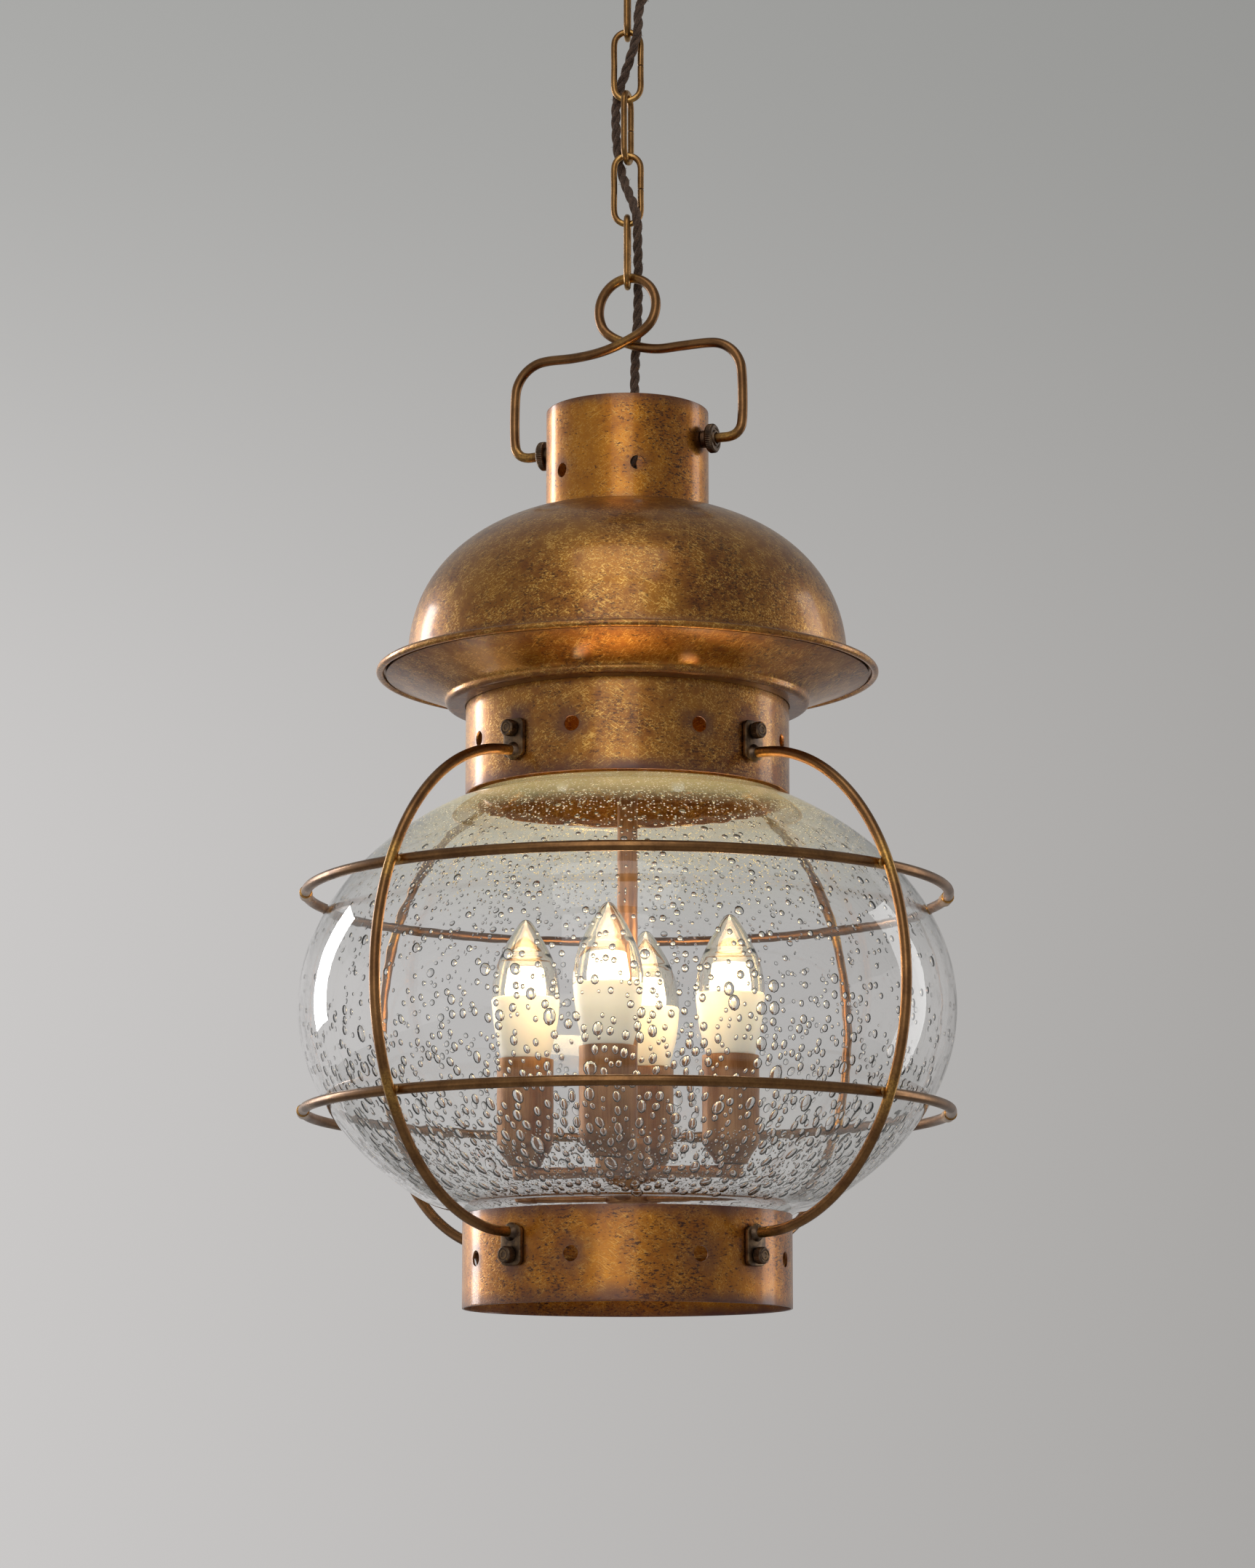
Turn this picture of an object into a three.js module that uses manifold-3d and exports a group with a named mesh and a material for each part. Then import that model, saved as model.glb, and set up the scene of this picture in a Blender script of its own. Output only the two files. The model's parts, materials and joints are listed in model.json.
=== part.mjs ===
// Hanging ship's lantern on a short chain: ceiling fitting, five links, wire bail, domed brass body,
// squat seeded-glass globe in a wire guard, and a four-candle light cluster. Millimetres, +Z up.
// The origin is the middle of the ceiling face, and everything hangs below it. -Y is the front.
import * as THREE from "three";
import { mergeVertices } from "three/addons/utils/BufferGeometryUtils.js";
import Module from "manifold-3d";

const wasm = await Module();
wasm.setup();

// ---- driving dimensions, mm ----
const GAP = 0.3; // air left between pieces that touch
const SHEET = 1; // spun brass sheet

const ROSE = { radius: 50, depth: 32, wall: 1.2 };
const STRAP = { length: 80, width: 18, thick: 5, screwAt: 26, screwHole: 2.5 };
const HOOK = { wire: 4, eye: 8, bottom: -56, stud: 3, collar: 8, collarThick: 3 };
const GRIP = { x: 22, radius: 6, bore: 3.2, shank: 4.2, bottom: -38 };

const LINK = { wire: 3.4, width: 14.5, length: 39.2, pitch: 35.5, top: -52, split: 0.5 };
const LINK_TURN = [84, -4, 72, -6, 84]; // degrees that each link's plane is turned from +X

const CORD = { diameter: 5.2, sides: 8, steps: 54 };
// The cord laces from one side of the chain to the other and drops behind the bail's loop.
const CORD_ROUTE = [
  [22, 0, -27], [22, 0, -38], [19, -1, -52], [11, -3, -64], [6.2, -4.2, -76], [5.4, -5.6, -89],
  [3.4, -4.2, -97], [0, 0, -107.5], [-3.6, 4.2, -118], [-5.6, 5.4, -126], [-6, 4.6, -142.6],
  [-4.6, 5.6, -158], [-2.6, 4.4, -168], [0, 0, -178.2], [3.2, -4.2, -188], [5, -5.8, -197],
  [5.4, -2.6, -210], [6, 3, -220], [6.2, 5.4, -229], [6, 7.2, -246], [5, 8.4, -266],
  [4.2, 6.4, -290], [3.4, 2.4, -320], [1.6, 0.4, -360], [0, 0, -400], [0, 0, -432],
];

const BAIL = {
  wire: 5.3, turn: -26, loopRadius: 17.7, loopZ: -246.2, armZ: -270, halfWidth: 66.7,
  topCorner: 19, endCorner: 8, pivotZ: -323.4, endAt: 40, crossing: 2.9,
};
const BAIL_NUT = { radius: 7.9, thick: 5, neck: 4.7, neckLong: 3, bore: 3.1 };

const CHIMNEY = { radius: 43.9, top: -304.7, bottom: -372, ventZ: -342.7, vent: 3.9, pivotHole: 3.1 };
const DOME = { top: -364.5, foot: -445.3, radius: 117.8, height: 89, curve: 2.3, rim: 134.4, bead: 2, rimZ: -448.9 };
const PAN = { edge: 129.2, lip: 96, lipTop: -462, lipBottom: -467.2 };
const COLLAR = { radius: 86.4, vent: 4.1, screwHole: 1.8, edgeToHoles: 24.7 };
const UPPER_COLLAR = { top: -452, bottom: -515.5 };
const LOWER_COLLAR = { top: -738, bottom: -786.9 };
const BRIDGE = { width: 22, thick: 3, z: -451.7 };

const GLOBE = { radius: 173.8, half: 128.4, z: -629, wall: 2.6, topNeck: 81.8, botNeck: 84.2 };
const SEAT = { inner: 76, outer: 84.6, top: -754.6, thick: 1.6 };

const ROD = { wire: 5.5, foot: 92, bow: 95.4, z: -626.75, half: 124.25 };
const GUARD_AT = [["front_right", 45], ["front_left", -45], ["back_right", 135], ["back_left", -135]];
const RING = { wire: 5.5, radius: 170.2, rise: 57.75, sleeve: 3.45, sleeveLong: 7, socket: 2.4, pin: 1.6 };
const LUG = { width: 13.5, height: 20.3, thick: 2.2, corner: 3, toEdge: 9.7, hole: 1.8 };
const SCREW = { head: 4.35, headLong: 5, shank: 1.4, tip: 83 };

const STEM = { radius: 5.4, bore: 3.4, top: -440, bottom: -704 };
const CLUSTER = { turn: -13.4, circle: 55, hub: 12, armZ: -716, arm: 4 };
const CANDLE = { radius: 15, wall: 0.8, top: -655.2, bottom: -699.8, boss: 8.5, bossBottom: -711.6 };
const HOLDER = { radius: 12.6, top: -664, bottom: -698 };
const BULB = { cap: 6.8, neck: 12.8, shoulder: 18.2, base: -654.8, crown: -622.6, tip: -579.6 };

const COLOUR = {
  brass: ["#8a5a26", 0.42, 1], bronze: ["#4a3c33", 0.5, 1], wire: ["#7a5028", 0.4, 1],
  steel: ["#8b8b88", 0.45, 1], glass: ["#dfe4d2", 0.05, 0], white: ["#eeead9", 0.5, 0],
  ceramic: ["#e4dfd2", 0.4, 0], cord: ["#4b382b", 0.9, 0],
};

// ---- making solids ----
const rad = THREE.MathUtils.degToRad;
const axisX = (geometry) => geometry.rotateZ(-Math.PI / 2); // a lathe's own axis, Y, laid along +X

function solid(geometry) {
  const bare = new THREE.BufferGeometry();
  bare.setAttribute("position", geometry.getAttribute("position").clone());
  if (geometry.index) bare.setIndex(geometry.index.clone());
  const merged = mergeVertices(bare, 1e-4);
  const at = merged.index.array;
  const whole = [];
  for (let i = 0; i < at.length; i += 3) {
    const [a, b, c] = [at[i], at[i + 1], at[i + 2]];
    if (a !== b && b !== c && c !== a) whole.push(a, b, c);
  }
  const shape = (triVerts) =>
    new wasm.Manifold(
      new wasm.Mesh({
        numProp: 3,
        vertProperties: new Float32Array(merged.getAttribute("position").array),
        triVerts: new Uint32Array(triVerts),
      }),
    );
  const made = shape(whole);
  return made.volume() > 0 ? made : shape(whole.reverse());
}

function toGeometry(manifold) {
  const mesh = manifold.getMesh();
  const geometry = new THREE.BufferGeometry();
  geometry.setAttribute("position", new THREE.BufferAttribute(mesh.vertProperties, 3));
  geometry.setIndex(new THREE.BufferAttribute(mesh.triVerts, 1));
  geometry.computeVertexNormals();
  return geometry;
}

const lantern = new THREE.Group();

// Adds one named piece, turned about +Z by `turn` degrees and moved to `at`.
function piece(name, body, finish, turn = 0, at = [0, 0, 0]) {
  const [color, roughness, metalness] = COLOUR[finish];
  const material = new THREE.MeshStandardMaterial({ color, roughness, metalness });
  material.name = finish;
  const mesh = new THREE.Mesh(toGeometry(body), material);
  mesh.name = name;
  mesh.rotation.z = rad(turn);
  mesh.position.set(...at);
  lantern.add(mesh);
}

// A turned piece on the Z axis. The outline is a closed loop of [radius, z] points, and may touch the axis.
function turned(outline, segments = 36) {
  const points = [...outline, outline[0]].map(([r, z]) => new THREE.Vector2(r, z));
  return new THREE.LatheGeometry(points, segments).rotateX(Math.PI / 2);
}

// A round bar along +X, from x0 to x1.
function barAlongX(radius, x0, x1, sides = 12) {
  const bar = new THREE.CylinderGeometry(radius, radius, x1 - x0, sides);
  return axisX(bar).translate((x0 + x1) / 2, 0, 0);
}

function roundBar(radius, z0, z1, sides = 12) {
  const bar = new THREE.CylinderGeometry(radius, radius, z1 - z0, sides);
  return bar.rotateX(Math.PI / 2).translate(0, 0, (z0 + z1) / 2);
}

// Round wire bent along a smooth curve through the points.
function wire(points, diameter, steps, sides = 6) {
  const path = new THREE.CatmullRomCurve3(points, false, "centripetal");
  path.arcLengthDivisions = 1500;
  const corners = Array.from({ length: sides }, (_, i) => {
    const turn = (i * 2 * Math.PI) / sides;
    return new THREE.Vector2(Math.cos(turn), Math.sin(turn)).multiplyScalar(diameter / 2);
  });
  return new THREE.ExtrudeGeometry(new THREE.Shape(corners), { steps, extrudePath: path, bevelEnabled: false });
}

// Points on an arc in the XZ plane, from one angle to another, in degrees from +X.
function arc(x, z, radius, from, to, count, y = () => 0) {
  return Array.from({ length: count }, (_, i) => {
    const t = i / (count - 1);
    const angle = rad(from + (to - from) * t);
    return new THREE.Vector3(x + radius * Math.cos(angle), y(t), z + radius * Math.sin(angle));
  });
}

const xz = (list, y = 0) => list.map(([x, z]) => new THREE.Vector3(x, y, z));

// Holes through a wall from the axis outwards, at each angle in degrees from -Y towards +X.
function drill(body, radius, z, angles, reach = 200, sides = 10) {
  let cut = body;
  for (const angle of angles) {
    const hole = barAlongX(radius, 5, reach, sides).translate(0, 0, z).rotateZ(rad(angle - 90));
    cut = cut.subtract(solid(hole));
  }
  return cut;
}

// ---- ceiling fitting ----
function ceilingRose() {
  const { radius, depth, wall } = ROSE;
  const outside = [[radius, 0], [radius - 1, -8], [radius - 5, -depth + 9], [radius - 14, -depth]];
  const inside = outside.map(([r, z]) => [r - wall, z === -depth ? z + wall : z]).reverse();
  const bore = HOOK.stud + 0.4;
  const bottom = [[bore, -depth], [bore, -depth + wall]];
  const gland = roundBar(GRIP.shank + GAP + 0.2, -depth - 5, -depth + 5).translate(GRIP.x, 0, 0);
  return solid(turned([...outside, ...bottom, ...inside], 28)).subtract(solid(gland));
}

function ceilingStrap() {
  const { length, width, thick, screwAt, screwHole } = STRAP;
  let strap = solid(new THREE.BoxGeometry(length, width, thick).translate(0, 0, -thick / 2));
  for (const x of [-screwAt, screwAt]) {
    strap = strap.subtract(solid(roundBar(screwHole, -thick - 1, 1).translate(x, 0, 0)));
  }
  return strap.subtract(solid(roundBar(HOOK.stud + 0.4, -thick - 1, -1.5)));
}

// A closed hook: threaded stud, collar that carries the rose, and a round eye for the top link.
function ceilingHook() {
  const underRose = -ROSE.depth - GAP;
  const eyeZ = HOOK.bottom + HOOK.eye;
  const eye = wire(arc(0, eyeZ, HOOK.eye, 92, 448, 24), HOOK.wire, 20);
  const collar = roundBar(HOOK.collar, underRose - HOOK.collarThick, underRose, 16);
  const neck = roundBar(HOOK.wire / 2 + 0.6, eyeZ + HOOK.eye - 1.2, underRose - 1, 8);
  const stud = roundBar(HOOK.stud, underRose - 1, -1.5 - GAP, 12);
  return solid(eye).add(solid(collar)).add(solid(neck)).add(solid(stud));
}

function roseCordGrip() {
  const { radius, bore, shank, bottom } = GRIP;
  const face = -ROSE.depth - GAP;
  const outline = [[bore, bottom], [radius - 1, bottom], [radius, bottom + 1], [radius, face], [shank, face],
    [shank, -ROSE.depth + 6], [bore, -ROSE.depth + 6]];
  return solid(turned(outline, 16));
}

function ceilingFitting() {
  piece("ceiling_rose", ceilingRose(), "brass");
  piece("ceiling_strap", ceilingStrap(), "steel");
  piece("ceiling_hook", ceilingHook(), "wire");
  piece("rose_cord_grip", roseCordGrip(), "bronze", 0, [GRIP.x, 0, 0]);
}

// ---- chain and cord ----
// One oval link with its top wire centred on z = 0 and its butt split halfway down one leg.
function chainLink() {
  const side = LINK.width / 2;
  const low = side - LINK.length;
  const middle = -LINK.length / 2;
  const points = [
    ...xz([[side, middle + LINK.split / 2], [side, middle + 6]]),
    ...arc(0, -side, side, 0, 180, 9),
    ...xz([[-side, middle]]),
    ...arc(0, low, side, 180, 360, 9),
    ...xz([[side, middle - 6], [side, middle - LINK.split / 2]]),
  ];
  return solid(wire(points, LINK.wire, 30));
}

function chain() {
  LINK_TURN.forEach((turn, i) => {
    piece(`chain_link_${i + 1}`, chainLink(), "wire", turn, [0, 0, LINK.top - i * LINK.pitch]);
  });
}

function supplyCord() {
  const points = CORD_ROUTE.map((p) => new THREE.Vector3(...p));
  return solid(wire(points, CORD.diameter, CORD.steps, CORD.sides));
}

// ---- bail ----
// One half of the bail's wire, from where it leaves the loop out to its turned-in end at +X or -X.
function bailArm(side) {
  const { halfWidth, topCorner, endCorner, armZ, pivotZ, endAt, crossing } = BAIL;
  const rise = [[-12.8, -257.8], [-7.2, -261.6], [0, -264.8], [7.2, -267.4], [17, -269.4]];
  const away = [crossing, crossing, crossing, crossing, crossing * 0.8];
  const blend = rise.map(([x, z], i) => new THREE.Vector3(side * x, side * away[i], z));
  const corner = arc(halfWidth - topCorner, armZ - topCorner, topCorner, 90, 0, 6);
  const foot = arc(halfWidth - endCorner, pivotZ + endCorner, endCorner, 0, -90, 4);
  const rest = [...xz([[32, armZ]]), ...corner, ...foot, ...xz([[55.5, pivotZ], [endAt, pivotZ]])];
  for (const p of rest) p.x *= side;
  return [...blend, ...rest];
}

function bail() {
  const { loopRadius, loopZ, crossing } = BAIL;
  const across = (t) => crossing * (2 * t - 1);
  // The loop runs from its lower right, over the top, to its lower left, and shifts by one wire on the way.
  const loop = arc(0, loopZ, loopRadius, -28, 208, 14, across);
  const points = [...bailArm(-1).reverse(), ...loop, ...bailArm(1)];
  return solid(wire(points, BAIL.wire, 92));
}

function bailNut() {
  const { radius, thick, neck, neckLong, bore } = BAIL_NUT;
  const start = CHIMNEY.radius + GAP;
  const step = start + neckLong;
  const outline = [[bore, start], [neck, start], [neck, step], [radius - 0.8, step], [radius, step + 1],
    [radius, step + thick - 1.4], [radius - 1.6, step + thick], [bore, step + thick]];
  const points = [...outline, outline[0]].map(([r, along]) => new THREE.Vector2(r, along));
  return solid(axisX(new THREE.LatheGeometry(points, 12)));
}

function bailAndNuts() {
  piece("bail", bail(), "wire", BAIL.turn);
  piece("bail_nut_right", bailNut(), "bronze", BAIL.turn, [0, 0, BAIL.pivotZ]);
  piece("bail_nut_left", bailNut(), "bronze", BAIL.turn + 180, [0, 0, BAIL.pivotZ]);
}

// ---- brass body ----
function chimney() {
  const { radius, top, bottom, ventZ, vent, pivotHole } = CHIMNEY;
  const inner = radius - SHEET;
  const tube = solid(turned([[radius, top], [radius, bottom], [inner, bottom], [inner, top]], 30));
  const pivots = [BAIL.turn + 90, BAIL.turn + 270];
  const vents = [60, 120, 240, 300].map((step) => BAIL.turn + 90 + step);
  return drill(drill(tube, pivotHole, BAIL.pivotZ, pivots), vent, ventZ, vents);
}

function dome() {
  const { top, foot, radius, height, curve, rim, bead, rimZ } = DOME;
  const inner = CHIMNEY.radius + GAP;
  const shell = (grow) =>
    Array.from({ length: 8 }, (_, i) => {
      const t = Math.sin((i / 7) * (Math.PI / 2)) ** 0.9;
      const r = inner + (radius - inner) * t;
      const z = foot + height * (1 - (r / radius) ** curve) ** (1 / curve);
      return [Math.max(inner, r + (grow && i ? grow : 0)), Math.min(z, top) + (grow && i < 7 ? grow : 0)];
    });
  const beadAt = [rim - bead, rimZ];
  const roll = [100, 15, -70, -155, -210].map((angle) => [
    beadAt[0] + bead * Math.cos(rad(angle)),
    beadAt[1] + bead * Math.sin(rad(angle)),
  ]);
  const outside = shell(0);
  const inside = shell(-SHEET).reverse();
  return solid(turned([...outside, ...roll, [radius - SHEET, foot - SHEET], ...inside.slice(1)], 30));
}

function canopyPan() {
  const { edge, lip, lipTop, lipBottom } = PAN;
  const bore = COLLAR.radius + GAP + 0.2;
  const out = [[edge, -450.4], [lip, lipTop], [lip, lipBottom + 1.6], [lip - 1.6, lipBottom], [bore, lipBottom]];
  const back = [[bore, lipBottom + SHEET], [lip - 2, lipBottom + SHEET], [lip - SHEET, lipBottom + 2],
    [lip - SHEET, lipTop + 0.7], [edge, -449.3]];
  return solid(turned([...out, ...back], 32));
}

// Both collars are short tubes with eight vents and four screw holes on one line.
function collar({ top, bottom }, holesZ) {
  const { radius, vent, screwHole } = COLLAR;
  const inner = radius - SHEET;
  const tube = solid(turned([[radius, top], [radius, bottom], [inner, bottom], [inner, top]], 32));
  const vents = Array.from({ length: 8 }, (_, i) => 22.5 + i * 45);
  const screws = GUARD_AT.map(([, angle]) => angle);
  return drill(drill(tube, vent, holesZ, vents), screwHole, holesZ, screws, 200, 8);
}

const upperHolesZ = UPPER_COLLAR.bottom + COLLAR.edgeToHoles;
const lowerHolesZ = LOWER_COLLAR.top - COLLAR.edgeToHoles;

function bridgeBar() {
  const { width, thick, z } = BRIDGE;
  const inTheCollar = solid(new THREE.BoxGeometry(2 * COLLAR.radius - 1, width, thick).translate(0, 0, z + thick / 2));
  return inTheCollar.subtract(solid(roundBar(STEM.radius + GAP + 0.1, z - 1, z + thick + 1, 16)));
}

function globeSeat() {
  const { inner, outer, top, thick } = SEAT;
  return solid(turned([[outer, top], [outer, top - thick], [inner, top - thick], [inner, top]], 32));
}

function brassBody() {
  piece("chimney", chimney(), "brass");
  piece("dome", dome(), "brass");
  piece("canopy_pan", canopyPan(), "brass");
  piece("upper_collar", collar(UPPER_COLLAR, upperHolesZ), "brass");
  piece("lower_collar", collar(LOWER_COLLAR, lowerHolesZ), "brass");
  piece("bridge_bar", bridgeBar(), "steel");
  piece("globe_seat", globeSeat(), "brass");
}

// ---- glass ----
function glassGlobe() {
  const { radius, half, z, wall, topNeck, botNeck } = GLOBE;
  const onShell = (angle, shrink) => [
    (radius - shrink) * Math.cos(rad(angle)),
    z + (half - shrink) * Math.sin(rad(angle)),
  ];
  const bowl = [57, 43, 29, 15, 0, -15, -29, -42];
  const outside = [[topNeck, -503], [topNeck, -515.6], ...bowl.map((a) => onShell(a, 0)), [112, -727.4],
    [97, -734], [84.6, -737.4], [botNeck, -753.8]];
  const inside = [[botNeck - wall, -753.8], [botNeck - wall, -735.4], [96, -731.2], [110.6, -724.8],
    ...bowl.map((a) => onShell(a, wall)).reverse(), [topNeck - wall, -516.6], [topNeck - wall, -503]];
  return solid(turned([...outside, ...inside], 30));
}

// ---- guard ----
function guardRod() {
  const { foot, bow, z, half, wire: thickness } = ROD;
  const start = COLLAR.radius + 2 * GAP + LUG.thick;
  const bowed = Array.from({ length: 17 }, (_, i) => {
    const angle = rad(90 - (i / 16) * 180);
    return new THREE.Vector3(foot + bow * Math.cos(angle), 0, z + half * Math.sin(angle));
  });
  const ends = xz([[start, z + half], [start, z - half]]);
  return solid(wire([ends[0], ...bowed, ends[1]], thickness, 24));
}

function ringPoints(from, to) {
  return Array.from({ length: 25 }, (_, i) => {
    const angle = rad(from + ((to - from) * i) / 24);
    return new THREE.Vector3(RING.radius * Math.cos(angle), RING.radius * Math.sin(angle), 0);
  });
}

function alongY(radius, x, y0, y1, sides) {
  return new THREE.CylinderGeometry(radius, radius, y1 - y0, sides).translate(x, (y0 + y1) / 2, 0);
}

// The back half carries a socket at each end, and the front half plugs into both with a thin pin.
function backHalfRing() {
  const clear = THREE.MathUtils.radToDeg((RING.sleeveLong - 1) / RING.radius);
  let half = solid(wire(ringPoints(clear, 180 - clear), RING.wire, 20));
  for (const x of [-RING.radius, RING.radius]) {
    half = half.add(solid(alongY(RING.sleeve, x, -RING.sleeveLong, RING.sleeveLong, 10)));
  }
  for (const x of [-RING.radius, RING.radius]) {
    half = half.subtract(solid(alongY(RING.socket, x, -RING.sleeveLong - 1, 2, 8)));
  }
  return half;
}

function frontHalfRing() {
  const stop = THREE.MathUtils.radToDeg((RING.sleeveLong + 2 * GAP) / RING.radius);
  let half = solid(wire(ringPoints(180 + stop, 360 - stop), RING.wire, 20));
  for (const x of [-RING.radius, RING.radius]) {
    half = half.add(solid(alongY(RING.pin, x, -RING.sleeveLong - 2.5, 1, 8)));
  }
  return half;
}

// A lug stands flat on the collar, holds the rod's end and takes one thumb screw.
function lug(centreZ, screwZ) {
  const { width, height, thick, corner, hole } = LUG;
  const [h, w] = [height / 2, width / 2];
  const plate = new THREE.Shape();
  plate.moveTo(-h + corner, -w).lineTo(h - corner, -w);
  plate.absarc(h - corner, -w + corner, corner, -Math.PI / 2, 0).absarc(h - corner, w - corner, corner, 0, Math.PI / 2);
  plate.absarc(-h + corner, w - corner, corner, Math.PI / 2, Math.PI);
  plate.absarc(-h + corner, -w + corner, corner, Math.PI, 1.5 * Math.PI);
  const flat = new THREE.ExtrudeGeometry(plate, { depth: thick, bevelEnabled: false, curveSegments: 2 });
  flat.rotateY(Math.PI / 2).translate(COLLAR.radius + GAP, 0, centreZ);
  return solid(flat).subtract(solid(barAlongX(hole, 50, 120, 8).translate(0, 0, screwZ)));
}

function thumbScrew(z) {
  const { head, headLong, shank, tip } = SCREW;
  const seat = COLLAR.radius + 2 * GAP + LUG.thick;
  const end = seat + headLong;
  const outline = [[0, tip], [shank, tip], [shank, seat], [head, seat], [head, end - 0.7], [head - 0.7, end], [0, end]];
  const points = outline.map(([r, along]) => new THREE.Vector2(r, along));
  return solid(axisX(new THREE.LatheGeometry(points, 12)).translate(0, 0, z));
}

function guard() {
  const upperLugZ = UPPER_COLLAR.bottom + LUG.toEdge + LUG.height / 2;
  const lowerLugZ = LOWER_COLLAR.top - LUG.toEdge - LUG.height / 2;
  for (const [where, angle] of GUARD_AT) {
    const turn = angle - 90;
    piece(`guard_rod_${where}`, guardRod(), "wire", turn);
    piece(`upper_lug_${where}`, lug(upperLugZ, upperHolesZ), "bronze", turn);
    piece(`lower_lug_${where}`, lug(lowerLugZ, lowerHolesZ), "bronze", turn);
    piece(`upper_screw_${where}`, thumbScrew(upperHolesZ), "bronze", turn);
    piece(`lower_screw_${where}`, thumbScrew(lowerHolesZ), "bronze", turn);
  }
  for (const [which, z] of [["upper", ROD.z + RING.rise], ["lower", ROD.z - RING.rise]]) {
    piece(`${which}_ring_back`, backHalfRing(), "wire", 0, [0, 0, z]);
    piece(`${which}_ring_front`, frontHalfRing(), "wire", 0, [0, 0, z]);
  }
}

// ---- light cluster ----
function stemTube() {
  const { radius, bore, top, bottom } = STEM;
  return solid(turned([[radius, top], [radius, bottom], [bore, bottom], [bore, top]], 16));
}

// The nut that holds the stem on the bridge bar, with a cord gland on top.
function stemGlandNut() {
  const seat = BRIDGE.z + BRIDGE.thick + GAP;
  const overStem = STEM.top + GAP;
  const bore = STEM.radius + GAP + 0.1;
  const cordBore = CORD.diameter / 2 + 0.4;
  const outline = [[bore, seat], [11, seat], [11, seat + 6], [8, seat + 7], [8, overStem + 7], [6, overStem + 9],
    [cordBore, overStem + 9], [cordBore, overStem], [bore, overStem]];
  return solid(turned(outline, 16));
}

function clusterHub() {
  const { circle, hub, armZ, arm } = CLUSTER;
  const bore = STEM.radius + GAP + 0.3;
  const boss = [[bore, STEM.bottom + 6], [hub - 3, STEM.bottom + 6], [hub, STEM.bottom + 2], [hub, armZ - 6],
    [5, armZ - 12], [0, armZ - 13], [0, STEM.bottom - GAP], [bore, STEM.bottom - GAP]];
  let body = solid(turned(boss, 14));
  for (let i = 0; i < 4; i += 1) {
    const reach = solid(barAlongX(arm, hub - 3, circle, 10).translate(0, 0, armZ).rotateZ(rad(i * 90)));
    const end = solid(roundBar(6.5, armZ - 4.6, armZ + 4.1, 12).translate(circle, 0, 0).rotateZ(rad(i * 90)));
    body = body.add(reach).add(end);
  }
  return body;
}

function candleCover() {
  const { radius, wall, top, bottom, boss, bossBottom } = CANDLE;
  const outline = [[radius, top], [radius, bottom], [radius - 1.2, bottom - 4], [boss + 1, bottom - 9], [boss, bossBottom],
    [3, bossBottom], [3, bossBottom + 2], [boss - 1, bottom - 8], [radius - wall, bottom - 2],
    [radius - wall, top]];
  return solid(turned(outline, 14));
}

function lampHolder() {
  const { radius, top, bottom } = HOLDER;
  const bore = BULB.cap + 2 * GAP;
  const outline = [[radius, top], [radius, bottom], [0, bottom], [0, bottom + 4], [bore, bottom + 4], [bore, top]];
  return solid(turned(outline, 12));
}

// An LED candle bulb: screw cap, tapering white body and clear flame-shaped cover.
function ledBulb() {
  const { cap, neck, shoulder, base, crown, tip } = BULB;
  const flame = crown - tip;
  const outline = [[0, HOLDER.bottom + 4.6], [cap, HOLDER.bottom + 4.6], [cap, base - 4], [neck - 1, base - 1], [neck, base],
    [16.2, base + 14], [shoulder, crown], [shoulder * 0.97, crown - flame * 0.2], [shoulder * 0.78, crown - flame * 0.5],
    [shoulder * 0.42, crown - flame * 0.8], [3.4, tip - 2.4], [0, tip]];
  return solid(turned(outline, 14));
}

function lightCluster() {
  piece("stem_tube", stemTube(), "brass");
  piece("stem_gland_nut", stemGlandNut(), "bronze");
  piece("cluster_hub", clusterHub(), "brass", CLUSTER.turn);
  ["right", "back", "left", "front"].forEach((where, i) => {
    const angle = rad(CLUSTER.turn + i * 90);
    const at = [CLUSTER.circle * Math.cos(angle), CLUSTER.circle * Math.sin(angle), 0];
    piece(`candle_cover_${where}`, candleCover(), "brass", 0, at);
    piece(`lamp_holder_${where}`, lampHolder(), "ceramic", 0, at);
    piece(`led_bulb_${where}`, ledBulb(), "white", 0, at);
  });
}

ceilingFitting();
chain();
piece("supply_cord", supplyCord(), "cord");
bailAndNuts();
brassBody();
piece("glass_globe", glassGlobe(), "glass");
guard();
lightCluster();

export default lantern;
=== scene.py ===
"""Looks of a ship's lantern that hangs on a short chain: brass body, seeded glass, wire guard and candle lights."""

import json
import math
import random

import bmesh
import bpy
from mathutils import Matrix, Vector, noise

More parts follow.
